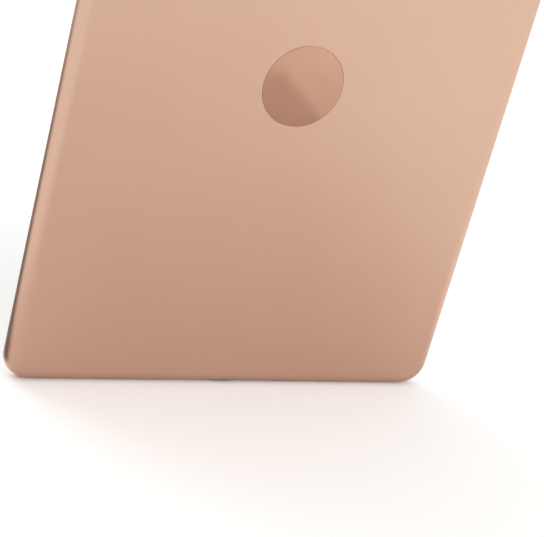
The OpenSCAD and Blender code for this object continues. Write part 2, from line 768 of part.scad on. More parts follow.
// Pouch cell with a folded seam along each side
module battery_cell() difference() {
    plate(battery_w, battery_l, battery_r, battery_h);
    for (s = [-1, 1]) translate([s * battery_w / 2, 0, battery_h / 2])
        cube([2 * seam_in, battery_l - 2 * seam_end, battery_h / 3], center = true);
}

module battery_left() color("#3a3c40") upright()
    translate([battery_left_x + battery_w / 2, 0, floor_z]) battery_cell();
module battery_right() color("#3a3c40") upright()
    translate([battery_left_x + battery_gap + battery_w * 1.5, 0, floor_z]) battery_cell();

// Protection board across the lower ends of the cells, reaching over the logic board
module battery_board() color(board_green) upright() {
    x0 = battery_left_x + battery_w - guard_left;
    y0 = -battery_l / 2 - guard_gap - guard_l;
    translate([x0, y0, lug_z]) cube([board_left + guard_lap - x0, guard_l, board_t]);
    for (s = [-1, 1])
        translate([battery_left_x + battery_w + battery_gap / 2 + s * guard_foot_x, y0 + guard_l / 2, 0])
            block(guard_foot[0], guard_foot[1], floor_z, lug_z);
}

// Main circuit board on its bosses
module logic_board() color(board_green) upright() difference() {
    translate([board_left, board_bottom, boss_z]) cube([board_w, board_top - board_bottom, board_t]);
    for (p = board_screws) translate([p[0], p[1], 0]) cylinder(r = screw_r + slop, h = body_t);
}

module processor() color(black_plastic) upright()
    translate([shield_x, shields[0][0] + processor_up, 0]) {
        block(processor_side, processor_side, lug_z, lug_z + chip_h / 2);
        block(processor_cap, processor_cap, lug_z + chip_h / 2, lug_z + chip_h);
    }

// Memory and power chips under the shields
module storage_chips() color("#2f3136") upright() {
    for (c = chips) translate([shield_x + c[1], shields[c[0]][0] + c[2], 0])
        block(c[3], c[4], lug_z, lug_z + chip_h);
}

// Pressed metal lids over the chips
module board_shields() color(foil_grey) upright()
    for (s = shields) translate([shield_x, s[0], 0]) difference() {
        block(shield_w, s[1], lug_z, lug_z + shield_h);
        block(shield_w - 2 * shield_skin, s[1] - 2 * shield_skin,
              lug_z - past, lug_z + shield_h - shield_skin);
    }

// Graphite sheet over the shields
module heat_spreader() color("#1f2023") upright() {
    y0 = shields[2][0] - shields[2][1] / 2;
    y1 = shields[0][0] + shields[0][1] / 2;
    translate([shield_x - shield_w / 2, y0, lug_z + shield_h]) cube([shield_w, y1 - y0, spreader_t]);
}

// Hollow speaker box with a spout to the holes in the edge and an opening for its driver
module speaker_box() {
    spout_z0 = speaker_hole_z - spout_h / 2;
    top_z = floor_z + speaker_h;
    difference() {
        union() {
            translate([-speaker_w / 2, -spout_l - speaker_d, floor_z])
                cube([speaker_w, speaker_d, speaker_h]);
            translate([-speaker_w / 2, -spout_l - past, spout_z0])
                cube([speaker_w, spout_l + past - screen_t, spout_h]);
        }
        translate([-speaker_w / 2, -spout_l - speaker_d, floor_z] + speaker_wall * [1, 1, 1])
            cube([speaker_w, speaker_d, speaker_h] - 2 * speaker_wall * [1, 1, 1]);
        translate([-speaker_w / 2 + spout_side, -spout_l - 2 * speaker_wall, spout_z0 + spout_wall])
            cube([speaker_w - 2 * spout_side, spout_l + past, spout_h - 2 * spout_wall]);
        translate([0, -spout_l - speaker_d / 2, top_z - 2 * speaker_wall])
            plate(driver_w - 2 * driver_lip, driver_l - 2 * driver_lip, driver_hole_r, speaker_h);
    }
    for (s = [-1, 1]) lug(s * speaker_lug_x, -spout_l - speaker_lug_in, -s * speaker_lug_bar, 0);
}

// Driver seated under the box's opening, with its cone inside the opening
module speaker_driver()
    translate([0, -spout_l - speaker_d / 2, floor_z + speaker_h - speaker_wall - driver_t]) {
        plate(driver_w, driver_l, driver_r, driver_t);
        plate(driver_w - 2 * driver_lip - 2 * cone_gap, driver_l - 2 * driver_lip - 2 * cone_gap,
              driver_hole_r - cone_gap, driver_t + cone_rise);
    }

module speaker_upper_left() color(black_plastic) upright() at_wall(0, -speaker_x) speaker_box();
module speaker_upper_right() color(black_plastic) upright() at_wall(0, speaker_x) speaker_box();
module speaker_lower_left() color(black_plastic) upright() at_wall(180, speaker_x) speaker_box();
module speaker_lower_right() color(black_plastic) upright() at_wall(180, -speaker_x) speaker_box();
module speaker_drivers() color(foil_grey) upright()
    for (end = [0, 180], s = [-1, 1]) at_wall(end, s * speaker_x) speaker_driver();
module speaker_screens() color("#15161a") upright()
    for (end = [0, 180], s = [-1, 1]) at_wall(end, s * speaker_x)
        translate([-speaker_w / 2, -screen_t, speaker_hole_z - spout_h / 2 + slop])
            cube([speaker_w, screen_t, spout_h - 2 * slop]);

// Charge port: shell that ends flush with the bottom edge, a rear block and two ears
module charge_port_shell() color(steel) upright() {
    inner = port_depth - wall;
    difference() {
        union() {
            intersection() {
                outer_limit(flush_inset);
                at_wall(180)
                    wall_slot(port_w + 2 * port_shell_t, port_h + 2 * port_shell_t, port_z, -inner, wall);
            }
            at_wall(180) for (s = [-1, 1]) lug(s * port_ear_x, -lug_in, -s * (port_ear_x - port_w / 2), 0);
        }
        at_wall(180) wall_slot(port_w, port_h, port_z, -inner + port_rear_t, wall + past);
    }
}

// Eight contact blades on each face of the port
module charge_port_contacts() color(gold) upright() at_wall(180)
    for (i = [0 : blades - 1], s = [-1, 1])
        translate([(i - (blades - 1) / 2) * blade_pitch, wall - port_depth + port_rear_t,
                   port_z + s * (port_h - blade_t) / 2])
            translate([-blade_w / 2, 0, -blade_t / 2]) cube([blade_w, port_depth - blade_recess, blade_t]);

// Cable from the port's rear along the channel and under the board
module charge_port_flex() color(flex_amber) upright() {
    z = boss_z - flex_t;
    rear_y = port_depth - wall - cavity_l / 2;
    y0 = channel_y - channel_w / 2;
    x1 = board_left + port_tab_x;
    translate([-port_flex_w / 2, rear_y, z]) cube([port_flex_w, channel_y - rear_y, flex_t]);
    translate([-port_flex_w / 2, y0, z]) cube([x1 + 1.5 * port_flex_w, channel_w, flex_t]);
    translate([x1, y0, z]) cube([port_flex_w, board_bottom + port_tab_lap - y0, flex_t]);
}

// Headphone jack: square body, and a round nose through the top edge
module headphone_jack() color(black_plastic) upright() {
    bottom = jack_mouth - jack_depth;
    difference() {
        union() {
            at_wall(0, jack_x) translate([-jack_side / 2, bottom - jack_end, floor_z])
                cube([jack_side, jack_end - bottom - spout_l, 2 * (jack_z - floor_z)]);
            intersection() {
                outer_limit(flush_inset);
                at_wall(0, jack_x) wall_rod(jack_nose_r, jack_z, -spout_l - past, wall);
            }
            lug(jack_screw[0], jack_screw[1], -lug_r, 0);
        }
        at_wall(0, jack_x) wall_rod(jack_r, jack_z, bottom, wall + past);
    }
}

// Insulating pad of the accessory connector, flush with the left side
module accessory_pad() color("#e9dcd4") upright() difference() {
    intersection() {
        outer_limit(flush_inset);
        at_wall(90) {
            wall_slot(pad_w, pad_h, button_z, -2 * slop, wall);
            wall_slot(pad_w + 2 * pad_flange, pad_h, button_z, -pad_back, -2 * slop);
        }
    }
    at_wall(90) for (i = [-1 : 1]) translate([i * contact_pitch, 0, 0])
        wall_rod(contact_r, button_z, -past, wall + past);
}

// Three contact pins, each with a head that seats on the back of the pad
module accessory_contacts() color(gold) upright() intersection() {
    outer_limit(2 * flush_inset);
    at_wall(90) for (i = [-1 : 1]) translate([i * contact_pitch, 0, 0]) {
        wall_rod(contact_r - slop / 2, button_z, -pad_back, wall);
        wall_rod(contact_r + pin_head_over, button_z, -pad_back - pin_head_t, -pad_back);
    }
}

// Magnets along the left side that hold a cover
module cover_magnets() color(steel) upright() at_wall(90)
    for (side = [-1, 1], i = [1 : 3])
        translate([side * (i * magnet_pitch + magnet_start), -magnet_t / 2, floor_z + floor_fillet])
            block(magnet_l, magnet_t, magnet_z[0], magnet_z[1]);

// Antenna carrier with a raised conductor, screwed down at one end
module antenna(side) {
    translate([side * antenna_x, antenna_y, 0]) {
        block(antenna_w, antenna_l, floor_z, shelf_z - antenna_drop);
        for (i = [-3 : 3]) translate([i * trace_pitch, 0, 0])
            block(trace_w, antenna_l - 2 * trace_end,
                  shelf_z - antenna_drop, shelf_z - antenna_drop + trace_t);
    }
    lug(side * (antenna_x - antenna_w / 2 - lug_r), antenna_y, side * lug_r, 0);
}

module antenna_left() color("#303236") upright() antenna(-1);
module antenna_right() color("#303236") upright() antenna(1);

// Every internal screw is the same: a flat head with a cross slot
module screws() color(steel) upright()
    for (p = screw_spots) translate([p[0], p[1], 0]) difference() {
        union() {
            translate([0, 0, screw_floor + 2 * slop])
                cylinder(r = screw_r, h = lug_z - screw_floor - 2 * slop);
            translate([0, 0, lug_z]) cylinder(r = screw_head_r, h = screw_head_h);
        }
        for (turn = [0, 90]) rotate(turn) block(slot_w, slot_l, lug_z + screw_head_h / 2, body_t);
    }

rear_housing();
rear_emblem();
camera_ring();
camera_window();
camera_body();
lens_barrel();
camera_sensor();
camera_flex();
flash_window();
flash_led();
rear_microphone();
top_microphone();
cover_glass();
display_gasket();
display_cell();
backlight();
display_flex();
home_cap();
home_ring();
fingerprint_sensor();
home_gasket();
home_switch();
home_bracket();
home_flex();
front_camera();
light_sensor();
power_button();
power_switch();
power_bracket();
volume_up_button();
volume_down_button();
volume_switches();
volume_bracket();
button_flex();
battery_left();
battery_right();
battery_board();
logic_board();
processor();
storage_chips();
board_shields();
heat_spreader();
speaker_upper_left();
speaker_upper_right();
speaker_lower_left();
speaker_lower_right();
speaker_drivers();
speaker_screens();
charge_port_shell();
charge_port_contacts();
charge_port_flex();
headphone_jack();
accessory_pad();
accessory_contacts();
cover_magnets();
antenna_left();
antenna_right();
screws();
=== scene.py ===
import json
import math

import bmesh
import bpy
from mathutils import Matrix, Quaternion, Vector
from mathutils.geometry import delaunay_2d_cdt


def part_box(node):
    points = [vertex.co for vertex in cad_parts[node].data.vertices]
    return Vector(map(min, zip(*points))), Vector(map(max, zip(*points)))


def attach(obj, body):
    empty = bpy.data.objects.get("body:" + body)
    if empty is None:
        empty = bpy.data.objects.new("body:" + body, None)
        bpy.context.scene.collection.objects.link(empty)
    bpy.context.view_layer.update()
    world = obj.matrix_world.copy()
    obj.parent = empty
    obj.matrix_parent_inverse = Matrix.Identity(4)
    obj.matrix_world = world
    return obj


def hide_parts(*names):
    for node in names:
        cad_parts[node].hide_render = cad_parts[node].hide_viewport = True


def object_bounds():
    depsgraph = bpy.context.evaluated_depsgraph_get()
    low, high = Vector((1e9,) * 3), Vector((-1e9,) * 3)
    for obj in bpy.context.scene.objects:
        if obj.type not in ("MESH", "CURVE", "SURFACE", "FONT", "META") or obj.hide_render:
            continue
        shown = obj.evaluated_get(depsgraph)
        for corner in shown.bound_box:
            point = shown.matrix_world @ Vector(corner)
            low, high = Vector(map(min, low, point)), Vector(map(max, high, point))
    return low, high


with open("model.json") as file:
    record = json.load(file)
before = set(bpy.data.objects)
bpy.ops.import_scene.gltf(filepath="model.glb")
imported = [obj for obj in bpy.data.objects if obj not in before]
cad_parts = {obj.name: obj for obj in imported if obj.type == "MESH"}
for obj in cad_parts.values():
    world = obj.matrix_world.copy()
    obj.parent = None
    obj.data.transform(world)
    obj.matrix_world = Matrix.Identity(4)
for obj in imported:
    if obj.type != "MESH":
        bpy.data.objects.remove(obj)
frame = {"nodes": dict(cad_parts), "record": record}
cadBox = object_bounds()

# A tablet computer in rose gold, standing on its bottom edge with its screen towards -Y.
# Meshes are drawn lying on the back, in millimetres: x is the width, y the length and z the
# height above the back. The matrix upright then stands them in the frame, in metres.
scene = bpy.context.scene
mm = 0.001
housingLow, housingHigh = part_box("rear_housing")
backCentre = Vector((0, 0, (housingLow.z + housingHigh.z) / 2))
upright = Matrix.Translation(backCentre) @ Matrix.Rotation(math.pi / 2, 4, "X") @ Matrix.Scale(mm, 4)
lying = upright.inverted()


def lyingBox(node):
    ends = [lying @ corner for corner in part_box(node)]
    return Vector(map(min, *ends)), Vector(map(max, *ends))


def middleOf(node):
    low, high = lyingBox(node)
    return (low + high) / 2


def radiusOf(node):
    low, high = lyingBox(node)
    return (high.x - low.x) / 2


def standOn(node):
    # moves a turned shape to the middle of a node and keeps its heights
    middle = middleOf(node)
    return Matrix.Translation((middle.x, middle.y, 0))


bodyLow, bodyHigh = lyingBox("rear_housing")
bodyWidth, bodyLength, rimHeight = bodyHigh.x - bodyLow.x, bodyHigh.y - bodyLow.y, bodyHigh.z
pinPoint = 0.01      # smallest radius a turned profile closes at
slimGap = 0.02       # play between pieces that sit in each other


def addObject(name, data):
    added = bpy.data.objects.new(name, data)
    scene.collection.objects.link(added)
    return added


cameraView = {
    "aim": (-6.85, 0, -42.79),    # point on the back, mm
    "distance": 677.06,
    "azimuth": 28.58,             # degrees from +Y towards +X
    "elevation": 25.02,
    "roll": -15.26,
    "lens": 124.53,
    "sensorWidth": 36,
    "clip": (0.01, 50),           # metres
}


def makeCamera(view):
    azimuth, elevation = math.radians(view["azimuth"]), math.radians(view["elevation"])
    level = math.cos(elevation)
    towards = Vector((math.sin(azimuth) * level, math.cos(azimuth) * level, math.sin(elevation)))
    data = bpy.data.cameras.new("studio_camera")
    data.lens, data.sensor_width = view["lens"], view["sensorWidth"]
    data.clip_start, data.clip_end = view["clip"]
    camera = addObject("studio_camera", data)
    camera.location = (Vector(view["aim"]) + towards * view["distance"]) * mm
    camera.rotation_mode = "QUATERNION"
    camera.rotation_quaternion = (Quaternion(-towards, math.radians(view["roll"]))
                                  @ (-towards).to_track_quat("-Z", "Y"))
    scene.camera = camera


makeCamera(cameraView)
print("camera placed")


def hexColour(text):
    # sRGB hex to the linear colour the shaders want
    parts = [int(text[i:i + 2], 16) / 255 for i in (1, 3, 5)]
    return (*[p / 12.92 if p <= 0.04045 else ((p + 0.055) / 1.055) ** 2.4 for p in parts], 1)


def addNode(tree, kind, settings=None, inputs=None):
    # inputs takes plain values, or sockets and nodes to link from, or a list of those
    node = tree.nodes.new(kind)
    for key, value in (settings or {}).items():
        setattr(node, key, value)
    for key, value in (inputs or {}).items():
        for one in value if isinstance(value, list) else [value]:
            if isinstance(one, bpy.types.Node):
                one = one.outputs[0]
            if isinstance(one, bpy.types.NodeSocket):
                tree.links.new(one, node.inputs[key])
            else:
                node.inputs[key].default_value = one
    return node


def startMaterial(name, colour, roughness, metallic=0, **more):
    material = bpy.data.materials.new(name)
    material.use_nodes = True
    tree = material.node_tree
    tree.nodes.clear()
    shader = addNode(tree, "ShaderNodeBsdfPrincipled", inputs={
        "Base Color": hexColour(colour), "Roughness": roughness, "Metallic": metallic, **more})
    addNode(tree, "ShaderNodeOutputMaterial", inputs={"Surface": shader})
    place = addNode(tree, "ShaderNodeTexCoord").outputs["Object"]
    return material, tree, shader, place


noiseRange = {"From Min": 0.3, "From Max": 0.7}    # where nearly all of a noise texture lies


def grainedMaterial(name, colour, shade, roughness, grain, depth, patch=9.0, metallic=0,
                    roughSpread=0.05, stretch=(1, 1, 1), **more):
    # a surface with fine grain in its height and roughness, and slow patches in its colour
    # grain, depth and patch are millimetres
    material, tree, shader, place = startMaterial(name, colour, roughness, metallic, **more)
    stretched = addNode(tree, "ShaderNodeMapping", inputs={"Vector": place, "Scale": stretch})
    fine = addNode(tree, "ShaderNodeTexNoise", inputs={
        "Vector": stretched, "Scale": 1 / (grain * mm), "Detail": 2.0, "Roughness": 0.6})
    slow = addNode(tree, "ShaderNodeTexNoise", inputs={
        "Vector": place, "Scale": 1 / (patch * mm), "Detail": 3.0})
    spread = addNode(tree, "ShaderNodeMapRange", inputs={"Value": slow, **noiseRange})
    tint = addNode(tree, "ShaderNodeMix", {"data_type": "RGBA"}, {
        0: spread, 6: hexColour(colour), 7: hexColour(shade)}).outputs[2]
    speck = addNode(tree, "ShaderNodeMapRange", inputs={
        "Value": fine, **noiseRange,
        "To Min": roughness - roughSpread, "To Max": roughness + roughSpread})
    bump = addNode(tree, "ShaderNodeBump", inputs={
        "Height": fine, "Distance": depth * mm, "Strength": 1.0})
    tree.links.new(tint, shader.inputs["Base Color"])
    tree.links.new(speck.outputs[0], shader.inputs["Roughness"])
    tree.links.new(bump.outputs[0], shader.inputs["Normal"])
    return material


# Bead-blasted, anodised aluminium: an even satin sheen with a very fine sparkle. The beads
# leave dimples of about 0.1 mm, drawn at 0.4 mm so that they show.
blastedAluminium = grainedMaterial(
    "blasted_anodised_aluminium", "#d2af9b", "#d0ac97", 0.40, grain=0.4, depth=0.004, patch=60,
    metallic=1, roughSpread=0.03)
# The same metal milled inside the tray: fine tool lines along the cavity
milledAluminium = grainedMaterial(
    "milled_anodised_aluminium", "#d9b7a4", "#cfab97", 0.36, grain=0.5, depth=0.01, patch=20,
    metallic=1, stretch=(0.1, 1, 1))
# Aluminium polished before anodising: a soft-edged mirror, deeper in colour
polishedAluminium = grainedMaterial(
    "polished_anodised_aluminium", "#bd947e", "#b98f79", 0.14, grain=0.8, depth=0.0006, patch=14,
    metallic=1, roughSpread=0.03)
# Chamfer cut with a diamond tool after anodising: a thin bright line
cutChamfer = grainedMaterial(
    "diamond_cut_aluminium", "#e6c6b4", "#dcb8a4", 0.18, grain=0.3, depth=0.001, patch=12,
    metallic=1, stretch=(1, 1, 0.1))
# White ink printed behind strengthened glass: bright, even and glossy
printedGlass = grainedMaterial(
    "white_printed_glass", "#e9e8e5", "#e5e4e0", 0.30, grain=1.6, depth=0.0004, patch=30,
    roughSpread=0.02, **{"Coat Weight": 1.0, "Coat Roughness": 0.03, "Coat IOR": 1.5,
                         "Specular IOR Level": 0.3})
# Black ink round the picture: a thin matt line under the same glass
blackInk = grainedMaterial(
    "black_printed_glass", "#060607", "#09090a", 0.4, grain=1.0, depth=0.0004,
    **{"Coat Weight": 0.45, "Coat Roughness": 0.03, "Coat IOR": 1.5, "Specular IOR Level": 0.0})
# Liquid crystal panel switched off: near black with a cold cast, laminated to glass whose
# anti-reflection layer keeps only a faint image of the room
darkPanel = grainedMaterial(
    "unlit_liquid_crystal_panel", "#08090c", "#0a0b0f", 0.25, grain=0.25, depth=0.0003, patch=45,
    **{"Coat Weight": 0.45, "Coat Roughness": 0.02, "Coat IOR": 1.5, "Specular IOR Level": 0.0})
# Synthetic sapphire over white ink: the hard, bright cap of the home button
sapphireCap = grainedMaterial(
    "sapphire_over_white_ink", "#e8e7e3", "#e3e2dd", 0.22, grain=1.0, depth=0.0003,
    **{"Coat Weight": 1.0, "Coat Roughness": 0.02, "Coat IOR": 1.77})
print("outer finishes made")


def arcPoints(centreX, centreY, radius, start, end, steps):
    angles = [math.radians(start + (end - start) * k / steps) for k in range(steps + 1)]
    return [(centreX + radius * math.cos(a), centreY + radius * math.sin(a)) for a in angles]


def domePoints(radius, rise, base, steps=6):
    # a quarter ellipse from its rim to its top
    return [(max(radius * math.cos(a), pinPoint), base + rise * math.sin(a))
            for a in (math.pi / 2 * k / steps for k in range(steps + 1))]


def roundedOutline(width, length, radius, inset, steps):
    # rounded rectangle moved inwards by inset, with the same points whatever the inset
    halfWidth, halfLength, bend = width / 2 - inset, length / 2 - inset, max(radius - inset, 0)
    corners = [(1, 1), (-1, 1), (-1, -1), (1, -1)]
    return [point for turn, (right, up) in enumerate(corners) for point in arcPoints(
        right * (halfWidth - bend), up * (halfLength - bend), bend, 90 * turn, 90 * turn + 90, steps)]


def bridgeRings(shape, low, high):
    for i, corner in enumerate(low):
        j = (i + 1) % len(low)
        shape.faces.new((corner, low[j], high[j], high[i]))


def loftedMesh(width, length, radius, layers, steps=12, ring=False):
    # outlines at each (inset, height) joined in order; the ends are capped, or joined in a ring
    shape = bmesh.new()
    rings = []
    for inset, height in layers:
        outline = roundedOutline(width, length, radius, inset, steps)
        rings.append([shape.verts.new((x, y, height)) for x, y in outline])
    for low, high in zip(rings, rings[1:]):
        bridgeRings(shape, low, high)
    if ring:
        bridgeRings(shape, rings[-1], rings[0])
    else:
        shape.faces.new(rings[0])
        shape.faces.new(rings[-1])
    return shape


def turnedMesh(profile, steps=16, ring=False):
    # (radius, height) profile turned about z
    return loftedMesh(0, 0, 0, [(-radius, height) for radius, height in profile], steps, ring)


cleaning = {"mergeDistance": 1e-5, "sliverLength": 1e-6}    # mm


def settleMesh(name, shapes, places=None, crease=35):
    # one object out of one or more bmeshes: moved to their places, cleaned, normals outwards,
    # smooth up to the crease angle
    whole = bmesh.new()
    for shape, place in zip(shapes, places or [Matrix()] * len(shapes)):
        bmesh.ops.remove_doubles(shape, verts=shape.verts, dist=cleaning["mergeDistance"])
        bmesh.ops.dissolve_degenerate(shape, edges=shape.edges, dist=cleaning["sliverLength"])
        bmesh.ops.recalc_face_normals(shape, faces=shape.faces)
        part = bpy.data.meshes.new("part")
        shape.to_mesh(part)
        shape.free()
        part.transform(place)
        whole.from_mesh(part)
        bpy.data.meshes.remove(part)
    mesh = bpy.data.meshes.new(name)
    whole.to_mesh(mesh)
    whole.free()
    mesh.shade_smooth()
    mesh.set_sharp_from_angle(angle=math.radians(crease))
    return addObject(name, mesh)


def turnedPiece(name, profile, steps, place, crease=35, ring=False):
    return settleMesh(name, [turnedMesh(profile, steps, ring)], [place], crease)


def wallPlace(angle, along, height, depth=0):
    # z out through a side wall: 0 is the top edge, 90 the left, 180 the bottom, 270 the right
    half = (bodyLength if angle % 180 == 0 else bodyWidth) / 2 - depth
    turned = Matrix(((-1, 0, 0), (0, 0, 1), (0, 1, 0))).to_4x4()
    spin = Matrix.Rotation(math.radians(angle), 4, "Z")
    return spin @ Matrix.Translation((along, half, height)) @ turned


def finishPiece(piece, body, materials, replaced):
    # stands the piece up and hands it to the frame
    piece.data.transform(upright)
    for material in materials:
        if material.name not in piece.data.materials:
            piece.data.materials.append(material)
    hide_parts(*replaced)
    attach(piece, body)


def newTree(name, sizes):
    tree = bpy.data.node_groups.new(name, "GeometryNodeTree")
    tree.is_modifier = True
    for label, kind in sizes.items():
        tree.interface.new_socket(name=label, in_out="INPUT", socket_type="NodeSocket" + kind)
    tree.interface.new_socket(name="Geometry", in_out="OUTPUT", socket_type="NodeSocketGeometry")
    return tree, addNode(tree, "NodeGroupInput").outputs


def endTree(tree, geometry, material):
    real = addNode(tree, "GeometryNodeRealizeInstances", inputs={"Geometry": geometry})
    painted = addNode(tree, "GeometryNodeSetMaterial", inputs={
        "Geometry": real, "Material": material})
    addNode(tree, "NodeGroupOutput", inputs={"Geometry": painted})


def applyModifiers(piece):
    bpy.context.view_layer.update()
    mesh = bpy.data.meshes.new_from_object(piece.evaluated_get(bpy.context.evaluated_depsgraph_get()))
    piece.modifiers.clear()
    piece.data = mesh


def growMesh(name, tree, values):
    # runs a tree on an empty object and keeps the result as a plain mesh
    piece = addObject(name, bpy.data.meshes.new(name))
    modifier = piece.modifiers.new(name, "NODES")
    modifier.node_group = tree
    for item in tree.interface.items_tree:
        if item.in_out == "INPUT":
            modifier[item.identifier] = values[item.name]
    applyModifiers(piece)
    return piece


def dropObject(*objects):
    for one in objects:
        bpy.data.objects.remove(one)


def cutAway(piece, cutter):
    cut = piece.modifiers.new("opening", "BOOLEAN")
    cut.object, cut.solver, cut.operation = cutter, "EXACT", "DIFFERENCE"
    applyModifiers(piece)
    dropObject(cutter)


def takeShape(piece):
    shape = bmesh.new()
    shape.from_mesh(piece.data)
    dropObject(piece)
    return shape


# a profile swept round a rounded rectangle; profile points are (-inset, -height)
trayTree, trayIn = newTree("tray_sweep", {
    "Width": "Float", "Length": "Float", "Corner Radius": "Float", "Corner Steps": "Int",
    "Profile": "Object", "Material": "Material"})
outline = addNode(trayTree, "GeometryNodeCurvePrimitiveQuadrilateral", inputs={
    "Width": trayIn["Width"], "Height": trayIn["Length"]})
outline = addNode(trayTree, "GeometryNodeFilletCurve", {"mode": "POLY"}, {
    "Curve": outline, "Count": trayIn["Corner Steps"], "Radius": trayIn["Corner Radius"]})
outline = addNode(trayTree, "GeometryNodeSetCurveNormal", {"mode": "Z_UP"}, {"Curve": outline})
section = addNode(trayTree, "GeometryNodeObjectInfo", inputs={"Object": trayIn["Profile"]})
swept = addNode(trayTree, "GeometryNodeCurveToMesh", inputs={
    "Curve": outline, "Profile Curve": section.outputs["Geometry"]})
endTree(trayTree, swept, trayIn["Material"])

# one part repeated along x
rowTree, rowIn = newTree("row_of_parts", {
    "Part": "Object", "Count": "Int", "Spacing": "Float", "Material": "Material"})
step = addNode(rowTree, "ShaderNodeCombineXYZ", inputs={"X": rowIn["Spacing"]})
span = addNode(rowTree, "ShaderNodeMath", {"operation": "SUBTRACT"}, {0: rowIn["Count"], 1: 1.0})
span = addNode(rowTree, "ShaderNodeMath", {"operation": "MULTIPLY"}, {0: span, 1: rowIn["Spacing"]})
first = addNode(rowTree, "ShaderNodeMath", {"operation": "MULTIPLY"}, {0: span, 1: -0.5})
start = addNode(rowTree, "ShaderNodeCombineXYZ", inputs={"X": first})
line = addNode(rowTree, "GeometryNodeMeshLine", {"mode": "OFFSET"}, {
    "Count": rowIn["Count"], "Start Location": start, "Offset": step})
part = addNode(rowTree, "GeometryNodeObjectInfo", inputs={"Object": rowIn["Part"]})
rowParts = addNode(rowTree, "GeometryNodeInstanceOnPoints", inputs={
    "Points": line, "Instance": part.outputs["Geometry"]})
endTree(rowTree, rowParts, rowIn["Material"])

# one part set on every point of another mesh
spotTree, spotIn = newTree("parts_on_spots", {
    "Part": "Object", "Spots": "Object", "Material": "Material"})
part = addNode(spotTree, "GeometryNodeObjectInfo", inputs={"Object": spotIn["Part"]})
spots = addNode(spotTree, "GeometryNodeObjectInfo", inputs={"Object": spotIn["Spots"]})
spotParts = addNode(spotTree, "GeometryNodeInstanceOnPoints", inputs={
    "Points": spots.outputs["Geometry"], "Instance": part.outputs["Geometry"]})
endTree(spotTree, spotParts, spotIn["Material"])

# two crossed layers of wires, in the xy plane
screenTree, screenIn = newTree("wire_screen", {
    "Width": "Float", "Height": "Float", "Pitch": "Float", "Wire": "Float", "Material": "Material"})
layers = []
for lengthName, acrossName, turn in (("Height", "Width", 0), ("Width", "Height", math.pi / 2)):
    wide = addNode(screenTree, "ShaderNodeMath", {"operation": "DIVIDE"}, {
        0: screenIn[acrossName], 1: screenIn["Pitch"]})
    number = addNode(screenTree, "ShaderNodeMath", {"operation": "FLOOR"}, {0: wide})
    size = addNode(screenTree, "ShaderNodeCombineXYZ", inputs={
        "X": screenIn["Wire"], "Y": screenIn[lengthName], "Z": screenIn["Wire"]})
    wire = addNode(screenTree, "GeometryNodeMeshCube", inputs={"Size": size})
    reach = addNode(screenTree, "ShaderNodeMath", {"operation": "MULTIPLY"}, {
        0: number, 1: screenIn["Pitch"]})
    back = addNode(screenTree, "ShaderNodeMath", {"operation": "MULTIPLY"}, {0: reach, 1: -0.5})
    lift = addNode(screenTree, "ShaderNodeMath", {"operation": "MULTIPLY"}, {
        0: screenIn["Wire"], 1: 0.5 if turn else -0.5})
    start = addNode(screenTree, "ShaderNodeCombineXYZ", inputs={"X": back, "Z": lift})
    step = addNode(screenTree, "ShaderNodeCombineXYZ", inputs={"X": screenIn["Pitch"]})
    count = addNode(screenTree, "ShaderNodeMath", {"operation": "ADD"}, {0: number, 1: 1.0})
    line = addNode(screenTree, "GeometryNodeMeshLine", {"mode": "OFFSET"}, {
        "Count": count, "Start Location": start, "Offset": step})
    wires = addNode(screenTree, "GeometryNodeInstanceOnPoints", inputs={
        "Points": line, "Instance": wire})
    layers.append(addNode(screenTree, "GeometryNodeTransform", inputs={
        "Geometry": wires, "Rotation": (0, 0, turn)}))
crossed = addNode(screenTree, "GeometryNodeJoinGeometry", inputs={"Geometry": layers})
endTree(screenTree, crossed, screenIn["Material"])
print("node trees built")


housing = {
    "cornerRadius": 9.5,          # all sizes in mm
    "backEdgeRadius": 4.6,
    "rimWidth": 1.3,
    "rimChamfer": 0.35,
    "shelfWidth": 1.2,
    "shelfHeight": 5.1,
    "floorThickness": 0.9,
    "floorFillet": 1.5,
    "mouthChamfer": 0.08,         # edge broken at the holes in the flat back
    "seatGap": 0.05,              # play round the pieces let into the back
    "cornerSteps": 28, "edgeSteps": 16, "filletSteps": 6,
    "holeSteps": 24, "pinholeSteps": 10,
}
sideKeys = {
    "length": 10.2, "height": 2.2, "gap": 0.12, "proud": 0.45, "centre": 3.3, "roundOver": 0.32,
    "endSteps": 10, "roundSteps": 5, "flangeSteps": 8,
    "flangeLength": 12.0, "flangeDepth": 0.5, "flangeGap": 0.05,
}
edgeOpenings = {
    "speakerRadius": 0.6, "speakerPitch": 2.15, "speakerCount": 13, "centre": 3.3,
    "microphoneRadius": 0.45, "holeSteps": 5,
    "past": 1.0,                  # how far a cutter goes beyond a face
}
sockets = {
    "clearance": 0.05, "roundSteps": 12,
    "jackBore": 4.0, "jackAcross": -64.0, "jackCentre": 3.0,
    "portWidth": 8.3, "portHeight": 2.7,
    "padWidth": 12.8, "padHeight": 2.64,
}
cameraParts = {
    "ringRadius": 5.6, "ringProud": 0.8, "ringRound": 0.22, "flangeRadius": 6.2, "flangeDepth": 0.2,
    "windowRadius": 3.6, "windowSeat": 0.05, "windowThickness": 0.4, "windowRound": 0.08,
    "windowGap": 0.05, "windowBevel": 0.12, "windowRoundSteps": 3, "ledge": 0.2,
    "innerRadius": 3.4, "apertureRadius": 3.0,
    "lensRadius": 1.5, "lensDome": 0.35, "lensSeat": 0.1,
    "baffleSteps": 4, "baffleRise": 0.16, "baffleRim": 0.35,
    "wellDepth": 0.35, "barrelBevel": 0.1,
    "steps": 20, "roundSteps": 5, "barrelSteps": 16, "lensSteps": 14,
}
wallThickness = housing["rimWidth"] + housing["shelfWidth"]
speakerX = (middleOf("speaker_lower_right").x + middleOf("speaker_upper_right").x) / 2
keyPlaces = {}    # node, wall angle, place along the wall
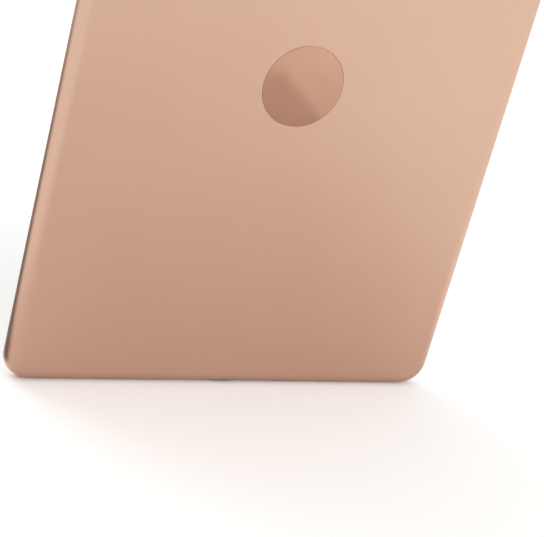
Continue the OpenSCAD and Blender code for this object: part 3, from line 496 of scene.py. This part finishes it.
for node, angle in (("power_button", 0), ("volume_up_button", 270), ("volume_down_button", 270)):
    middle = middleOf(node)
    keyPlaces[node] = (angle, middle.x if angle == 0 else -middle.y)


def makeHousing():
    h = housing
    edge = h["backEdgeRadius"]
    section = arcPoints(edge, edge, edge, 270, 180, h["edgeSteps"])
    section += [(0, rimHeight - h["rimChamfer"]), (h["rimChamfer"], rimHeight),
                (h["rimWidth"], rimHeight), (h["rimWidth"], h["shelfHeight"]),
                (wallThickness, h["shelfHeight"])]
    section += arcPoints(wallThickness + h["floorFillet"], h["floorThickness"] + h["floorFillet"],
                         h["floorFillet"], 180, 270, h["filletSteps"])
    curve = bpy.data.curves.new("wall_section", "CURVE")
    curve.dimensions = "3D"
    spline = curve.splines.new("POLY")
    spline.points.add(len(section) - 1)
    for point, (inset, height) in zip(spline.points, section):
        point.co = (-inset, -height, 0, 1)
    profile = addObject("wall_section", curve)
    tray = growMesh("rear_housing_shell", trayTree, {
        "Width": bodyWidth, "Length": bodyLength, "Corner Radius": h["cornerRadius"],
        "Corner Steps": h["cornerSteps"], "Profile": profile, "Material": blastedAluminium})
    dropObject(profile)
    shape = bmesh.new()
    shape.from_mesh(tray.data)
    bmesh.ops.holes_fill(shape, edges=[e for e in shape.edges if e.is_boundary], sides=0)
    bmesh.ops.recalc_face_normals(shape, faces=shape.faces)
    shape.to_mesh(tray.data)
    shape.free()
    return tray


def makeCutters():
    # every opening of the housing as one mesh
    e, past = edgeOpenings, edgeOpenings["past"]
    reach = (-wallThickness - 2 * past, past)
    drill = settleMesh("speaker_drill", [
        turnedMesh([(e["speakerRadius"], z) for z in reach], e["holeSteps"])])
    shapes, places = [], []
    for angle in (0, 180):
        for side in (-1, 1):
            row = growMesh("speaker_drills", rowTree, {
                "Part": drill, "Count": e["speakerCount"], "Spacing": e["speakerPitch"],
                "Material": blastedAluminium})
            shapes.append(takeShape(row))
            places.append(wallPlace(angle, side * speakerX, e["centre"]))
    dropObject(drill)
    shapes.append(turnedMesh([(e["microphoneRadius"], z) for z in reach], e["holeSteps"]))
    places.append(wallPlace(0, 0, e["centre"]))
    gap = 2 * sideKeys["gap"]
    keySlots = [(angle, along, sideKeys["centre"], sideKeys["length"] + gap, sideKeys["height"] + gap,
                 sideKeys["endSteps"]) for angle, along in keyPlaces.values()]
    for angle, along, height, wide, tall, steps in keySlots + socketSlots:
        shapes.append(loftedMesh(wide, tall, tall / 2, [(0, z) for z in reach], steps))
        places.append(wallPlace(angle, along, height))
    mouth = housing["mouthChamfer"]
    for node, radius, depth, steps in backHoles:
        shapes.append(turnedMesh(
            [(radius, depth), (radius, mouth), (radius + mouth, 0), (radius + mouth, -past)], steps))
        places.append(standOn(node))
    return settleMesh("housing_cutters", shapes, places)


throughBack = housing["floorThickness"] + edgeOpenings["past"]
seatGap, microphoneRadius = housing["seatGap"], edgeOpenings["microphoneRadius"]
backHoles = [    # node, radius, depth, steps in a quarter turn
    ("rear_emblem", radiusOf("rear_emblem") + seatGap, lyingBox("rear_emblem")[1].z,
     housing["holeSteps"]),
    ("camera_ring", cameraParts["ringRadius"] + seatGap, throughBack, housing["holeSteps"]),
    ("flash_window", radiusOf("flash_window") + seatGap, throughBack, housing["pinholeSteps"]),
    ("rear_microphone", microphoneRadius, throughBack, housing["pinholeSteps"]),
]
port, pad = middleOf("charge_port_contacts"), middleOf("accessory_pad")
room = 2 * sockets["clearance"]
socketSlots = [    # wall, place along it, height, width and height of the opening, steps
    (angle, along, height, wide + room, tall + room, sockets["roundSteps"])
    for angle, along, height, wide, tall in (
        (0, sockets["jackAcross"], sockets["jackCentre"], sockets["jackBore"], sockets["jackBore"]),
        (180, -port.x, port.z, sockets["portWidth"], sockets["portHeight"]),
        (90, pad.y, pad.z, sockets["padWidth"], sockets["padHeight"]))
]


def outerSurface(point):
    # distance inside the outer surface and its outward normal, for a point in the lying frame
    radius, edge = housing["cornerRadius"], housing["backEdgeRadius"]
    sideInset, endInset = bodyWidth / 2 - abs(point.x), bodyLength / 2 - abs(point.y)
    across = Vector((radius - sideInset, radius - endInset))
    if across.x > 0 and across.y > 0:
        out, inset = across.normalized(), radius - across.length
    elif sideInset < endInset:
        out, inset = Vector((1, 0)), sideInset
    else:
        out, inset = Vector((0, 1)), endInset
    out = Vector((math.copysign(out.x, point.x), math.copysign(out.y, point.y)))
    if inset >= edge:
        return point.z, Vector((0, 0, -1))
    if point.z >= edge:
        return inset, Vector((out.x, out.y, 0))
    roll = Vector((edge - inset, edge - point.z))
    depth = edge - roll.length
    roll.normalize()
    return depth, Vector((out.x * roll.x, out.y * roll.x, -roll.y))


# what counts as the outer skin: distance from the ideal surface, cosine to its normal, and how
# far below the rim it ends
skin = {"depth": 0.05, "facing": 0.92, "rimGap": 0.01, "rimTop": 0.05, "sharpAngle": 35,
        "chamferFacing": (0.5, 0.9)}


def dressHousing(piece):
    # exact normals on the rolled outer skin, and its cut chamfer and milled inside
    mesh = piece.data
    mesh.shade_smooth()
    mesh.set_sharp_from_angle(angle=math.radians(skin["sharpAngle"]))
    normals = [Vector(c.vector) for c in mesh.corner_normals]
    for polygon in mesh.polygons:
        facing = polygon.normal
        outer = True
        for index in polygon.loop_indices:
            point = mesh.vertices[mesh.loops[index].vertex_index].co
            depth, normal = outerSurface(point)
            near = abs(depth) < skin["depth"] and facing.dot(normal) > skin["facing"]
            if near and point.z < rimHeight - skin["rimGap"]:
                normals[index] = normal
            else:
                outer = False
        level, (least, most) = polygon.center.z, skin["chamferFacing"]
        if level > rimHeight - housing["rimChamfer"] and least < facing.z < most:
            polygon.material_index = 1
        elif outer or level > rimHeight - skin["rimTop"]:
            polygon.material_index = 0
        else:
            polygon.material_index = 2
    mesh.normals_split_custom_set(normals)


tray = makeHousing()
cutAway(tray, makeCutters())
tray.data.materials.clear()
dressHousing(tray)
finishPiece(tray, "tablet", [blastedAluminium, cutChamfer, milledAluminium],
            ["rear_housing"])
print("rear housing:", len(tray.data.polygons), "faces")


# Hardened, coated glass over the camera: clear and slightly smoky, so that the lens shows below it
cameraGlass = grainedMaterial(
    "clear_hardened_glass", "#dfe3e6", "#dcdfe4", 0.03, grain=1.5, depth=0.0002, roughSpread=0.01,
    **{"Transmission Weight": 1.0, "IOR": 1.5, "Specular IOR Level": 0.2})
# Coated lens: deep black glass whose anti-reflection layer throws back a green-violet tint
coatedLens = grainedMaterial(
    "coated_optical_glass", "#0b0a12", "#100d1a", 0.04, grain=1.2, depth=0.0001, roughSpread=0.01,
    **{"Coat Weight": 0.3, "Coat Roughness": 0.02, "Coat Tint": hexColour("#9fd8b4"),
       "Specular Tint": hexColour("#8f7fe0"), "IOR": 1.7, "Specular IOR Level": 0.25})
# Lens barrel and baffles moulded in black polycarbonate with a fine spark-eroded texture
blackPolycarbonate = grainedMaterial(
    "spark_eroded_black_polycarbonate", "#0e0e10", "#151517", 0.55, grain=0.25, depth=0.006, patch=4,
    **{"Specular IOR Level": 0.25})
# Milky acrylic over the flash: it softens the lamp, with a yellow cast from the phosphor
milkyAcrylic = grainedMaterial(
    "milky_acrylic", "#f4edd6", "#f1e8cc", 0.28, grain=0.6, depth=0.0008, patch=2,
    **{"Transmission Weight": 0.45, "IOR": 1.49, "Coat Weight": 0.6, "Coat Roughness": 0.06})
# Contact pins plated with hard gold: bright, faintly brushed by the plug that wipes them
goldPlate = grainedMaterial(
    "hard_gold_plate", "#d9b566", "#caa14e", 0.24, grain=0.2, depth=0.001, patch=1.5,
    metallic=1, stretch=(0.2, 1, 1))
# Stainless steel, pressed and tumbled: cool grey with a soft sheen
pressedSteel = grainedMaterial(
    "pressed_stainless_steel", "#b9bcc0", "#a9acb1", 0.32, grain=0.3, depth=0.002, patch=6,
    metallic=1)
# Woven steel wire, blackened so that the holes look dark
blackenedWire = grainedMaterial(
    "blackened_steel_wire", "#2a2a2c", "#3a3a3d", 0.42, grain=0.1, depth=0.001, patch=1, metallic=1)
# Glass-filled nylon pad, dyed to go with the body: slightly rough and dry
dyedNylon = grainedMaterial(
    "dyed_glass_filled_nylon", "#d6bdad", "#cdb2a1", 0.5, grain=0.3, depth=0.004, patch=3)


emblem = {"round": 0.12, "roundSteps": 3, "backBevel": 0.2, "steps": 32}
emblemRadius, emblemDepth = radiusOf("rear_emblem"), lyingBox("rear_emblem")[1].z
bend, bevel = emblem["round"], emblem["backBevel"]
discSection = [(emblemRadius - bevel, emblemDepth), (emblemRadius, emblemDepth - bevel / 2)]
discSection += arcPoints(emblemRadius - bend, bend, bend, 0, -90, emblem["roundSteps"])
emblemDisc = turnedPiece("emblem_disc", discSection, emblem["steps"], standOn("rear_emblem"))
finishPiece(emblemDisc, "tablet", [polishedAluminium], ["rear_emblem"])

c = cameraParts
cameraSpot = standOn("camera_ring")
ringTop, inside = -c["ringProud"], housing["floorThickness"]
seat = ringTop + c["windowSeat"] + c["windowThickness"]
seatRadius = c["windowRadius"] + c["windowGap"]
bend, bevel = c["ringRound"], c["windowBevel"]
flange = inside + c["flangeDepth"]
ringSection = [(c["innerRadius"], flange), (c["flangeRadius"], flange), (c["flangeRadius"], inside),
               (c["ringRadius"], inside)]
ringSection += arcPoints(c["ringRadius"] - bend, ringTop + bend, bend, 0, -90, c["roundSteps"])
ringSection += [(seatRadius + bevel, ringTop), (seatRadius, ringTop + bevel), (seatRadius, seat),
                (c["apertureRadius"], seat), (c["apertureRadius"], seat + c["ledge"]),
                (c["innerRadius"], seat + c["ledge"])]
cameraRing = turnedPiece("camera_ring_turned", ringSection, c["steps"], cameraSpot, 40, ring=True)
finishPiece(cameraRing, "tablet", [polishedAluminium], ["camera_ring"])

bend, paneBase = c["windowRound"], seat - slimGap
paneSection = [(c["apertureRadius"], paneBase), (c["windowRadius"] - bend, paneBase),
               (c["windowRadius"], paneBase - bend)]
paneSection += arcPoints(c["windowRadius"] - bend, ringTop + c["windowSeat"] + bend, bend, 0, -90,
                         c["windowRoundSteps"])
cameraPane = turnedPiece("camera_pane", paneSection, c["steps"], cameraSpot)
# ink on the underside hides the ledge the pane is glued to
for polygon in cameraPane.data.polygons:
    out = (polygon.center - cameraSpot.translation).to_2d().length
    below = polygon.center.z > ringTop + c["windowSeat"] + slimGap
    polygon.material_index = int(out > c["apertureRadius"] and below)
finishPiece(cameraPane, "tablet", [cameraGlass, blackInk], ["camera_window"])

# focusing barrel: a stepped black bore round a domed lens
barrelLow, barrelHigh = lyingBox("lens_barrel")
barrelRadius, bevel = radiusOf("lens_barrel"), c["barrelBevel"]
bore = barrelRadius - c["baffleRim"]
tread = (bore - c["lensRadius"]) / c["baffleSteps"]
treads = []
for k in range(c["baffleSteps"]):
    outer, inner = (bore - tread * (k + more) for more in (0, 1))
    level = barrelLow.z + c["baffleRise"] * (k + 1)
    treads += [(outer, level), (inner, level)]
wellFloor = barrelLow.z + c["baffleRise"] * c["baffleSteps"] + c["wellDepth"]
barrel = turnedMesh(
    [(pinPoint, barrelHigh.z), (barrelRadius - bevel, barrelHigh.z),
     (barrelRadius, barrelHigh.z - bevel), (barrelRadius, barrelLow.z + bevel),
     (barrelRadius - bevel, barrelLow.z), (bore, barrelLow.z)]
    + treads + [(c["lensRadius"], wellFloor), (pinPoint, wellFloor)], c["barrelSteps"])
lensBase, lensRadius = wellFloor - slimGap, c["lensRadius"] - slimGap
lens = turnedMesh([(pinPoint, lensBase), (lensRadius, lensBase)]
                  + domePoints(lensRadius, -c["lensDome"], wellFloor - c["lensSeat"]), c["lensSteps"])
lensBarrel = settleMesh("lens_barrel_turned", [barrel, lens], [cameraSpot, cameraSpot], 30)
for polygon in lensBarrel.data.polygons:
    away = polygon.center - cameraSpot.translation
    onLens = away.to_2d().length < lensRadius + slimGap / 2 and away.z < lensBase - slimGap / 2
    polygon.material_index = int(onLens)
finishPiece(lensBarrel, "focus_lens", [blackPolycarbonate, coatedLens],
            ["lens_barrel"])

flashParts = {"round": 0.1, "roundSteps": 3, "steps": 16}
flashRadius, bend = radiusOf("flash_window"), flashParts["round"]
flashSection = [(flashRadius, lyingBox("flash_window")[1].z)]
flashSection += arcPoints(flashRadius - bend, bend, bend, 0, -90, flashParts["roundSteps"])
flashDisc = turnedPiece("flash_lens", flashSection, flashParts["steps"], standOn("flash_window"))
finishPiece(flashDisc, "tablet", [milkyAcrylic], ["flash_window"])
print("back pieces made")


front = {
    "edgeRound": 0.2, "roundSteps": 4, "cornerSteps": 16,
    "blackMargin": 0.9,          # black ink past the picture
    "windowCorner": 0.6, "windowSteps": 4,
    "pictureCorner": 0.05, "pictureSteps": 1,
    "homeRadius": 6.15, "homeClearance": 0.15, "homePoints": 64,
    "cameraSpot": 1.55, "lensWindow": 0.7, "cameraPoints": 32, "sensorSpot": 0.9, "sensorPoints": 24,
    "lightMargin": 2.0,          # how far the backlight reaches past the picture
    "slack": 0.01, "weldDistance": 1e-7,
}
glassLow, glassHigh = lyingBox("cover_glass")
cellLow, cellHigh = lyingBox("backlight")
glassWidth, glassLength = glassHigh.x - glassLow.x, glassHigh.y - glassLow.y
glassCorner = housing["cornerRadius"] - (bodyWidth - glassWidth) / 2
pictureWidth = cellHigh.x - cellLow.x - 2 * front["lightMargin"]
pictureLength = cellHigh.y - cellLow.y - 2 * front["lightMargin"]
homeRadius = front["homeRadius"]
capLow, capHigh = lyingBox("home_cap")
homeCentre = Vector((0, (capLow.y + capHigh.y) / 2))
eyeCentre = Vector((0, middleOf("front_camera").y))
sensorCentre = middleOf("light_sensor").to_2d()


def circlePoints(centre, radius, count):
    return arcPoints(centre.x, centre.y, radius, 0, 360, count)[:-1]


def loopEdges(start, count):
    return [(start + i, start + (i + 1) % count) for i in range(count)]


def makeGlass():
    f = front
    bend, margin = f["edgeRound"], 2 * f["blackMargin"]
    windowWidth, windowLength = pictureWidth + margin, pictureLength + margin
    hole = homeRadius + f["homeClearance"]
    loops = [roundedOutline(glassWidth, glassLength, glassCorner, bend, f["cornerSteps"]),
             circlePoints(homeCentre, hole + bend, f["homePoints"]),
             roundedOutline(windowWidth, windowLength, f["windowCorner"], 0, f["windowSteps"]),
             roundedOutline(pictureWidth, pictureLength, f["pictureCorner"], 0, f["pictureSteps"]),
             circlePoints(eyeCentre, f["cameraSpot"], f["cameraPoints"]),
             circlePoints(eyeCentre, f["lensWindow"], f["cameraPoints"]),
             circlePoints(sensorCentre, f["sensorSpot"], f["sensorPoints"])]
    shape = bmesh.new()

    def layFlat(points, edges, height, radius, inkAt):
        # triangles between the loops, open inside a radius round the home button
        flat, _, triangles = delaunay_2d_cdt(points, edges, [], 1, f["weldDistance"])[:3]
        corners = [shape.verts.new((p.x, p.y, height)) for p in flat]
        for triangle in triangles:
            spot = sum((flat[i] for i in triangle), Vector((0, 0))) / 3
            if (spot - homeCentre).length > radius - f["slack"]:
                shape.faces.new([corners[i] for i in triangle]).material_index = inkAt(spot)

    def within(spot, width, length):
        return abs(spot.x) < width / 2 and abs(spot.y) < length / 2

    def inkAt(spot):
        # 0 white ink, 1 black ink, 2 picture, 3 lens
        if within(spot, pictureWidth, pictureLength):
            return 2
        if within(spot, windowWidth, windowLength):
            return 1
        if (spot - eyeCentre).length < f["lensWindow"]:
            return 3
        nearCamera = (spot - eyeCentre).length < f["cameraSpot"]
        return int(nearCamera or (spot - sensorCentre).length < f["sensorSpot"])

    points, edges = [], []
    for loop in loops:
        edges += loopEdges(len(points), len(loop))
        points += [Vector(p) for p in loop]
    layFlat(points, edges, glassHigh.z, hole + bend, inkAt)
    # the outer edge and the hole's edge are rounded, then go straight down to the back of the glass
    rounds = arcPoints(bend, glassHigh.z - bend, bend, 90, 180, f["roundSteps"]) + [(0, glassLow.z)]
    outerRings = [roundedOutline(glassWidth, glassLength, glassCorner, inset, f["cornerSteps"])
                  for inset, _ in rounds]
    holeRings = [circlePoints(homeCentre, hole + inset, f["homePoints"]) for inset, _ in rounds]
    last = []
    for rings in (outerRings, holeRings):
        made = [[shape.verts.new((x, y, height)) for x, y in ring]
                for ring, (_, height) in zip(rings, rounds)]
        for high, low in zip(made, made[1:]):
            bridgeRings(shape, high, low)
        last.append(made[-1])
    rim = [v.co.to_2d() for ring in last for v in ring]
    under = loopEdges(0, len(last[0])) + loopEdges(len(last[0]), len(last[1]))
    layFlat(rim, under, glassLow.z, hole, lambda spot: 0)
    bmesh.ops.delete(shape, geom=[v for v in shape.verts if not v.link_faces], context="VERTS")
    return shape


glass = settleMesh("front_glass", [makeGlass()], crease=30)
finishPiece(glass, "tablet", [printedGlass, blackInk, darkPanel, coatedLens],
            ["cover_glass"])

homeParts = {
    "ringWidth": 0.7, "ringRound": 0.12, "cupThickness": 0.15, "flange": 0.75,
    "dish": 0.12, "capBevel": 0.1,
    "ringRoundSteps": 4, "capRoundSteps": 3, "dishSteps": 8, "steps": 20,
}
h = homeParts
cupLow, cupHigh = lyingBox("home_ring")
cup, cupFloor, top = cupLow.z, cupLow.z + h["cupThickness"], cupHigh.z
homeSpot = Matrix.Translation((homeCentre.x, homeCentre.y, 0))
innerHome, bend = homeRadius - h["ringWidth"], h["ringRound"]
homeSection = [(pinPoint, cupFloor), (pinPoint, cup), (homeRadius + h["flange"], cup),
               (homeRadius + h["flange"], cupFloor), (homeRadius, cupFloor)]
homeSection += arcPoints(homeRadius - bend, top - bend, bend, 0, 90, h["ringRoundSteps"])
homeSection += arcPoints(innerHome + bend, top - bend, bend, 90, 180, h["ringRoundSteps"])
homeSection.append((innerHome, cupFloor))
homeRing = turnedPiece("home_ring_turned", homeSection, h["steps"], homeSpot, 40, ring=True)
finishPiece(homeRing, "home_button", [polishedAluminium], ["home_ring"])
capRadius, capTop, bend = radiusOf("home_cap"), capHigh.z, h["capBevel"]
capSection = [(pinPoint, capLow.z), (capRadius, capLow.z)]
capSection += arcPoints(capRadius - bend, capTop - bend, bend, 0, 90, h["capRoundSteps"])
capSection += [(max((capRadius - bend) * part, pinPoint), capTop - h["dish"] * (1 - part ** 2))
               for part in (1 - k / h["dishSteps"] for k in range(1, h["dishSteps"] + 1))]
homeCap = turnedPiece("home_cap_dished", capSection, h["steps"], homeSpot, 40)
finishPiece(homeCap, "home_button", [sapphireCap], ["home_cap"])
print("front made:", len(glass.data.polygons), "faces in the glass")


def makeKey(node, body):
    # a pill with a rounded face, then the flange that keeps it in the wall
    k = sideKeys
    angle, along = keyPlaces[node]
    tall, bend, gap = k["height"], k["roundOver"], k["flangeGap"]
    root = -wallThickness - gap
    foot = root - k["flangeDepth"]
    face = arcPoints(bend, k["proud"] - bend, bend, 180, 90, k["roundSteps"])
    pill = loftedMesh(k["length"], tall, tall / 2, [(0, root)] + face, k["endSteps"])
    flange = loftedMesh(k["flangeLength"], tall, tall / 2,
                        [(gap, foot), (0, foot + gap), (0, root)], k["flangeSteps"])
    place = wallPlace(angle, along, k["centre"])
    key = settleMesh(node + "_cap", [pill, flange], [place, place], 40)
    finishPiece(key, body, [blastedAluminium], [node])


for node in keyPlaces:
    makeKey(node, node.replace("button", "key"))

# domed contact pins in the accessory pad
pins = {
    "count": 3, "pitch": 4.2, "radius": 0.775, "dome": 0.12, "sunk": 0.22,
    "headRadius": 1.1, "headDepth": 0.4, "seat": 0.6, "steps": 8,
}
headTop = -wallThickness - pins["seat"]
headBase = headTop - pins["headDepth"]
pinSection = [(pinPoint, headBase), (pins["headRadius"], headBase), (pins["headRadius"], headTop),
              (pins["radius"], headTop)]
pinSection += domePoints(pins["radius"], pins["dome"], -pins["sunk"] - pins["dome"])
pin = turnedPiece("contact_pin", pinSection, pins["steps"], Matrix(), 40)
pinRow = growMesh("accessory_pins", rowTree, {
    "Part": pin, "Count": pins["count"], "Spacing": pins["pitch"], "Material": goldPlate})
dropObject(pin)
pinRow.data.transform(wallPlace(90, pad.y, sideKeys["centre"]))
finishPiece(pinRow, "tablet", [goldPlate], ["accessory_contacts"])

# wire screens behind the speaker holes
screens = {"width": 28.0, "height": 1.5, "pitch": 0.3, "wire": 0.1, "behind": 0.1}
shapes, places = [], []
for angle in (0, 180):
    for side in (-1, 1):
        sheet = growMesh("speaker_screen", screenTree, {
            "Width": screens["width"], "Height": screens["height"], "Pitch": screens["pitch"],
            "Wire": screens["wire"], "Material": blackenedWire})
        shapes.append(takeShape(sheet))
        places.append(wallPlace(angle, side * speakerX, edgeOpenings["centre"],
                                wallThickness + screens["behind"]))
wireScreens = settleMesh("speaker_wire_screens", shapes, places)
finishPiece(wireScreens, "tablet", [blackenedWire], ["speaker_screens"])

# pan-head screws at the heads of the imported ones
screwSizes = {
    "threadRadius": 0.5, "groove": 0.08, "turns": 12, "length": 1.6,
    "headRadius": 1.1, "headHeight": 0.5, "headBevel": 0.15, "steps": 6,
    "slotWidth": 0.25, "slotLength": 1.3, "slotDepth": 0.25, "slotRound": 0.05, "slotSteps": 1,
    "mergeDistance": 1e-6,    # metres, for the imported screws
}


def screwCentres():
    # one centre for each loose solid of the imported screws
    source = frame["nodes"]["screws"].data
    shape = bmesh.new()
    shape.from_mesh(source)
    bmesh.ops.remove_doubles(shape, verts=shape.verts, dist=screwSizes["mergeDistance"])
    todo, centres = set(shape.verts), []
    while todo:
        waiting, group = [todo.pop()], []
        while waiting:
            vert = waiting.pop()
            group.append(lying @ vert.co)
            for edge in vert.link_edges:
                other = edge.other_vert(vert)
                if other in todo:
                    todo.remove(other)
                    waiting.append(other)
        low, high = Vector(map(min, *group)), Vector(map(max, *group))
        centres.append(Vector(((low.x + high.x) / 2, (low.y + high.y) / 2, high.z)))
    shape.free()
    return sorted(centres, key=lambda p: (round(p.x, 2), round(p.y, 2)))


s = screwSizes
under, bevel = -s["headHeight"], s["headBevel"]
thread = [(s["threadRadius"] - s["groove"] * (k % 2), under - s["length"] * (1 - k / s["turns"]))
          for k in range(s["turns"])]
screwSection = [(pinPoint, under - s["length"])] + thread
screwSection += [(s["threadRadius"], under), (s["headRadius"], under), (s["headRadius"], -bevel),
                 (s["headRadius"] - bevel, 0), (pinPoint, 0)]
screw = turnedPiece("screw", screwSection, s["steps"], Matrix(), 40)
for long, wide in ((s["slotLength"], s["slotWidth"]), (s["slotWidth"], s["slotLength"])):
    cutAway(screw, settleMesh("screw_slot", [loftedMesh(
        long, wide, s["slotRound"], [(0, -s["slotDepth"]), (0, s["slotDepth"])], s["slotSteps"])]))
spotMesh = bpy.data.meshes.new("screw_spots")
spotMesh.from_pydata(screwCentres(), [], [])
spotsObject = addObject("screw_spots", spotMesh)
screwSet = growMesh("screw_set", spotTree, {
    "Part": screw, "Spots": spotsObject, "Material": pressedSteel})
print("screws:", len(spotMesh.vertices))
dropObject(screw, spotsObject)
finishPiece(screwSet, "tablet", [pressedSteel], ["screws"])
print("edge pieces made")


# Flexible circuit: copper traces under amber polyimide film
flexTraces = {"width": 0.9, "bandsPerUnit": 20, "from": 0.45, "to": 0.55}
amberFilm, tree, shader, place = startMaterial(
    "copper_clad_polyimide", "#b9772c", 0.35, **{"Coat Weight": 0.5})
waves = addNode(tree, "ShaderNodeTexWave", {"bands_direction": "DIAGONAL"}, {
    "Vector": place, "Scale": 1 / (flexTraces["width"] * mm) / flexTraces["bandsPerUnit"],
    "Distortion": 0.5})
edge = addNode(tree, "ShaderNodeMapRange", inputs={
    "Value": waves.outputs["Fac"], "From Min": flexTraces["from"], "From Max": flexTraces["to"]})
tint = addNode(tree, "ShaderNodeMix", {"data_type": "RGBA"}, {
    0: edge, 6: hexColour("#b9772c"), 7: hexColour("#8d5420")}).outputs[2]
tree.links.new(tint, shader.inputs["Base Color"])
# Printed circuit board: glass-epoxy under green solder mask, with pale pads
boardPads = {"pitch": 1.6, "from": 0.18, "to": 0.22}
solderMask, tree, shader, place = startMaterial("green_solder_mask_on_glass_epoxy", "#24513c", 0.4)
cells = addNode(tree, "ShaderNodeTexVoronoi", {"distance": "MANHATTAN"}, {
    "Vector": place, "Scale": 1 / (boardPads["pitch"] * mm)})
pads = addNode(tree, "ShaderNodeMapRange", inputs={
    "Value": cells.outputs["Distance"], "From Min": boardPads["from"], "From Max": boardPads["to"]})
tint = addNode(tree, "ShaderNodeMix", {"data_type": "RGBA"}, {
    0: pads, 6: hexColour("#c8b48a"), 7: hexColour("#24513c")}).outputs[2]
tree.links.new(tint, shader.inputs["Base Color"])
# Silicone rubber: matt dark grey with a dusty bloom
siliconeRubber = grainedMaterial(
    "silicone_rubber", "#3f3f43", "#4c4c50", 0.75, grain=0.4, depth=0.01, patch=5)
# Diffuser film of the backlight: white, soft and slightly pearly
diffuserFilm = grainedMaterial(
    "polyester_diffuser_film", "#ebebe8", "#e2e3e2", 0.5, grain=0.3, depth=0.002, patch=30,
    **{"Sheen Weight": 0.2})
# Liquid crystal cell: two dark glass plates with a polariser
cellGlass = grainedMaterial(
    "polarised_cell_glass", "#14161c", "#191c23", 0.12, grain=1.0, depth=0.0004, patch=40,
    **{"IOR": 1.52})
# Battery pouch: aluminium-laminate foil wrapped in matt black film, slightly puckered
pouchFilm = grainedMaterial(
    "black_laminate_pouch", "#2c2d30", "#37393d", 0.48, grain=3.5, depth=0.12, patch=22,
    roughSpread=0.1)
# Phosphor over the flash chip: chalky yellow
phosphor = grainedMaterial(
    "yellow_phosphor", "#e6cf72", "#dfc662", 0.65, grain=0.15, depth=0.001, patch=0.8)
# Epoxy mould compound of the chips and sensors: dark, flat and finely grained
mouldCompound = grainedMaterial(
    "epoxy_mould_compound", "#2b2c30", "#353138", 0.6, grain=0.2, depth=0.004, patch=4)

slotFinishes = {
    "rose_aluminium": blastedAluminium, "polished_rose_metal": polishedAluminium,
    "cover_glass": printedGlass, "camera_glass": cameraGlass, "flash_lens": milkyAcrylic,
    "sapphire_cap": sapphireCap, "black_plastic": blackPolycarbonate, "amber_cable": amberFilm,
    "circuit_board": solderMask, "steel": pressedSteel, "gold_contacts": goldPlate,
    "rubber_seal": siliconeRubber, "display_glass": cellGlass, "backlight_plastic": diffuserFilm,
    "battery_pouch": pouchFilm, "flash_lamp": phosphor, "sensor_plastic": mouldCompound,
    "pad_plastic": dyedNylon, "screen_mesh": blackenedWire,
}
slotOfNode = {part["node"]: part["material_slot"] for part in frame["record"]["subparts"]}
# a dark dust mesh covers the microphones, seen through their holes
nodeFinishes = {"rear_microphone": blackenedWire, "top_microphone": blackenedWire}
for name, piece in frame["nodes"].items():
    finish = nodeFinishes.get(name, slotFinishes[slotOfNode[name]])
    piece.data.materials.clear()
    piece.data.materials.append(finish)
print("packed parts dressed:", len(frame["nodes"]))


studio = {
    "worldStrength": 1.0, "floorSize": 14.0,
    "cardLift": 0.0002, "cardRoughness": 0.8,
    # corners of each card on the floor, metres, and its colour
    "roseCard": ([(-0.14, -0.002), (0.16, -0.002), (0.09, 0.46), (-0.14, 0.46)], "#e1d8d6"),
    "darkFlag": ([(0.089, -0.001), (0.16, -0.42), (0.56, -0.42), (0.11, -0.001)], "#4c2212"),
}
softboxes = {    # place and aim in metres, width of the square, watts
    "key_softbox": {"place": (-1.2, 1.4, 1.3), "aim": (0, 0, 0.03), "size": 1.4, "energy": 12},
    "front_softbox": {"place": (1.0, -1.5, 1.4), "aim": (0.1, -0.2, -0.09), "size": 1.2, "energy": 10},
}


def addSheet(name, corners, paint):
    mesh = bpy.data.meshes.new(name)
    mesh.from_pydata(corners, [], [tuple(range(len(corners)))])
    mesh.materials.append(paint)
    sheet = addObject(name, mesh)
    return sheet


floorLevel = cadBox[0].z
reach = studio["floorSize"] / 2
floorPaint = grainedMaterial(
    "white_painted_floor", "#fdfdfc", "#fafaf9", 0.8, grain=4, depth=0.01, patch=400)
addSheet("studio_floor", [(-reach, -reach, floorLevel), (reach, -reach, floorLevel),
                          (reach, reach, floorLevel), (-reach, reach, floorLevel)], floorPaint)
# two cards that only reflections see: one calms the lower half of the back, as a stand there
# would, and one draws a dark line down the rolled side
for name in ("roseCard", "darkFlag"):
    corners, colour = studio[name]
    paint = startMaterial("matt_" + name, colour, studio["cardRoughness"])[0]
    level = floorLevel + studio["cardLift"]
    card = addSheet(name, [(x, y, level) for x, y in corners], paint)
    card.visible_camera = card.visible_diffuse = card.visible_shadow = False

world = bpy.data.worlds.new("studio")
world.use_nodes = True
sky = world.node_tree.nodes["Background"].inputs
sky["Color"].default_value = (1, 1, 1, 1)
sky["Strength"].default_value = studio["worldStrength"]
scene.world = world
scene.view_settings.view_transform = "Standard"

for name, box in softboxes.items():
    data = bpy.data.lights.new(name, "AREA")
    data.shape, data.size, data.energy = "SQUARE", box["size"], box["energy"]
    light = addObject(name, data)
    light.location = box["place"]
    light.rotation_mode = "QUATERNION"
    light.rotation_quaternion = (Vector(box["aim"]) - Vector(box["place"])).to_track_quat("-Z", "Y")
    light.visible_camera = False
print("studio lit")
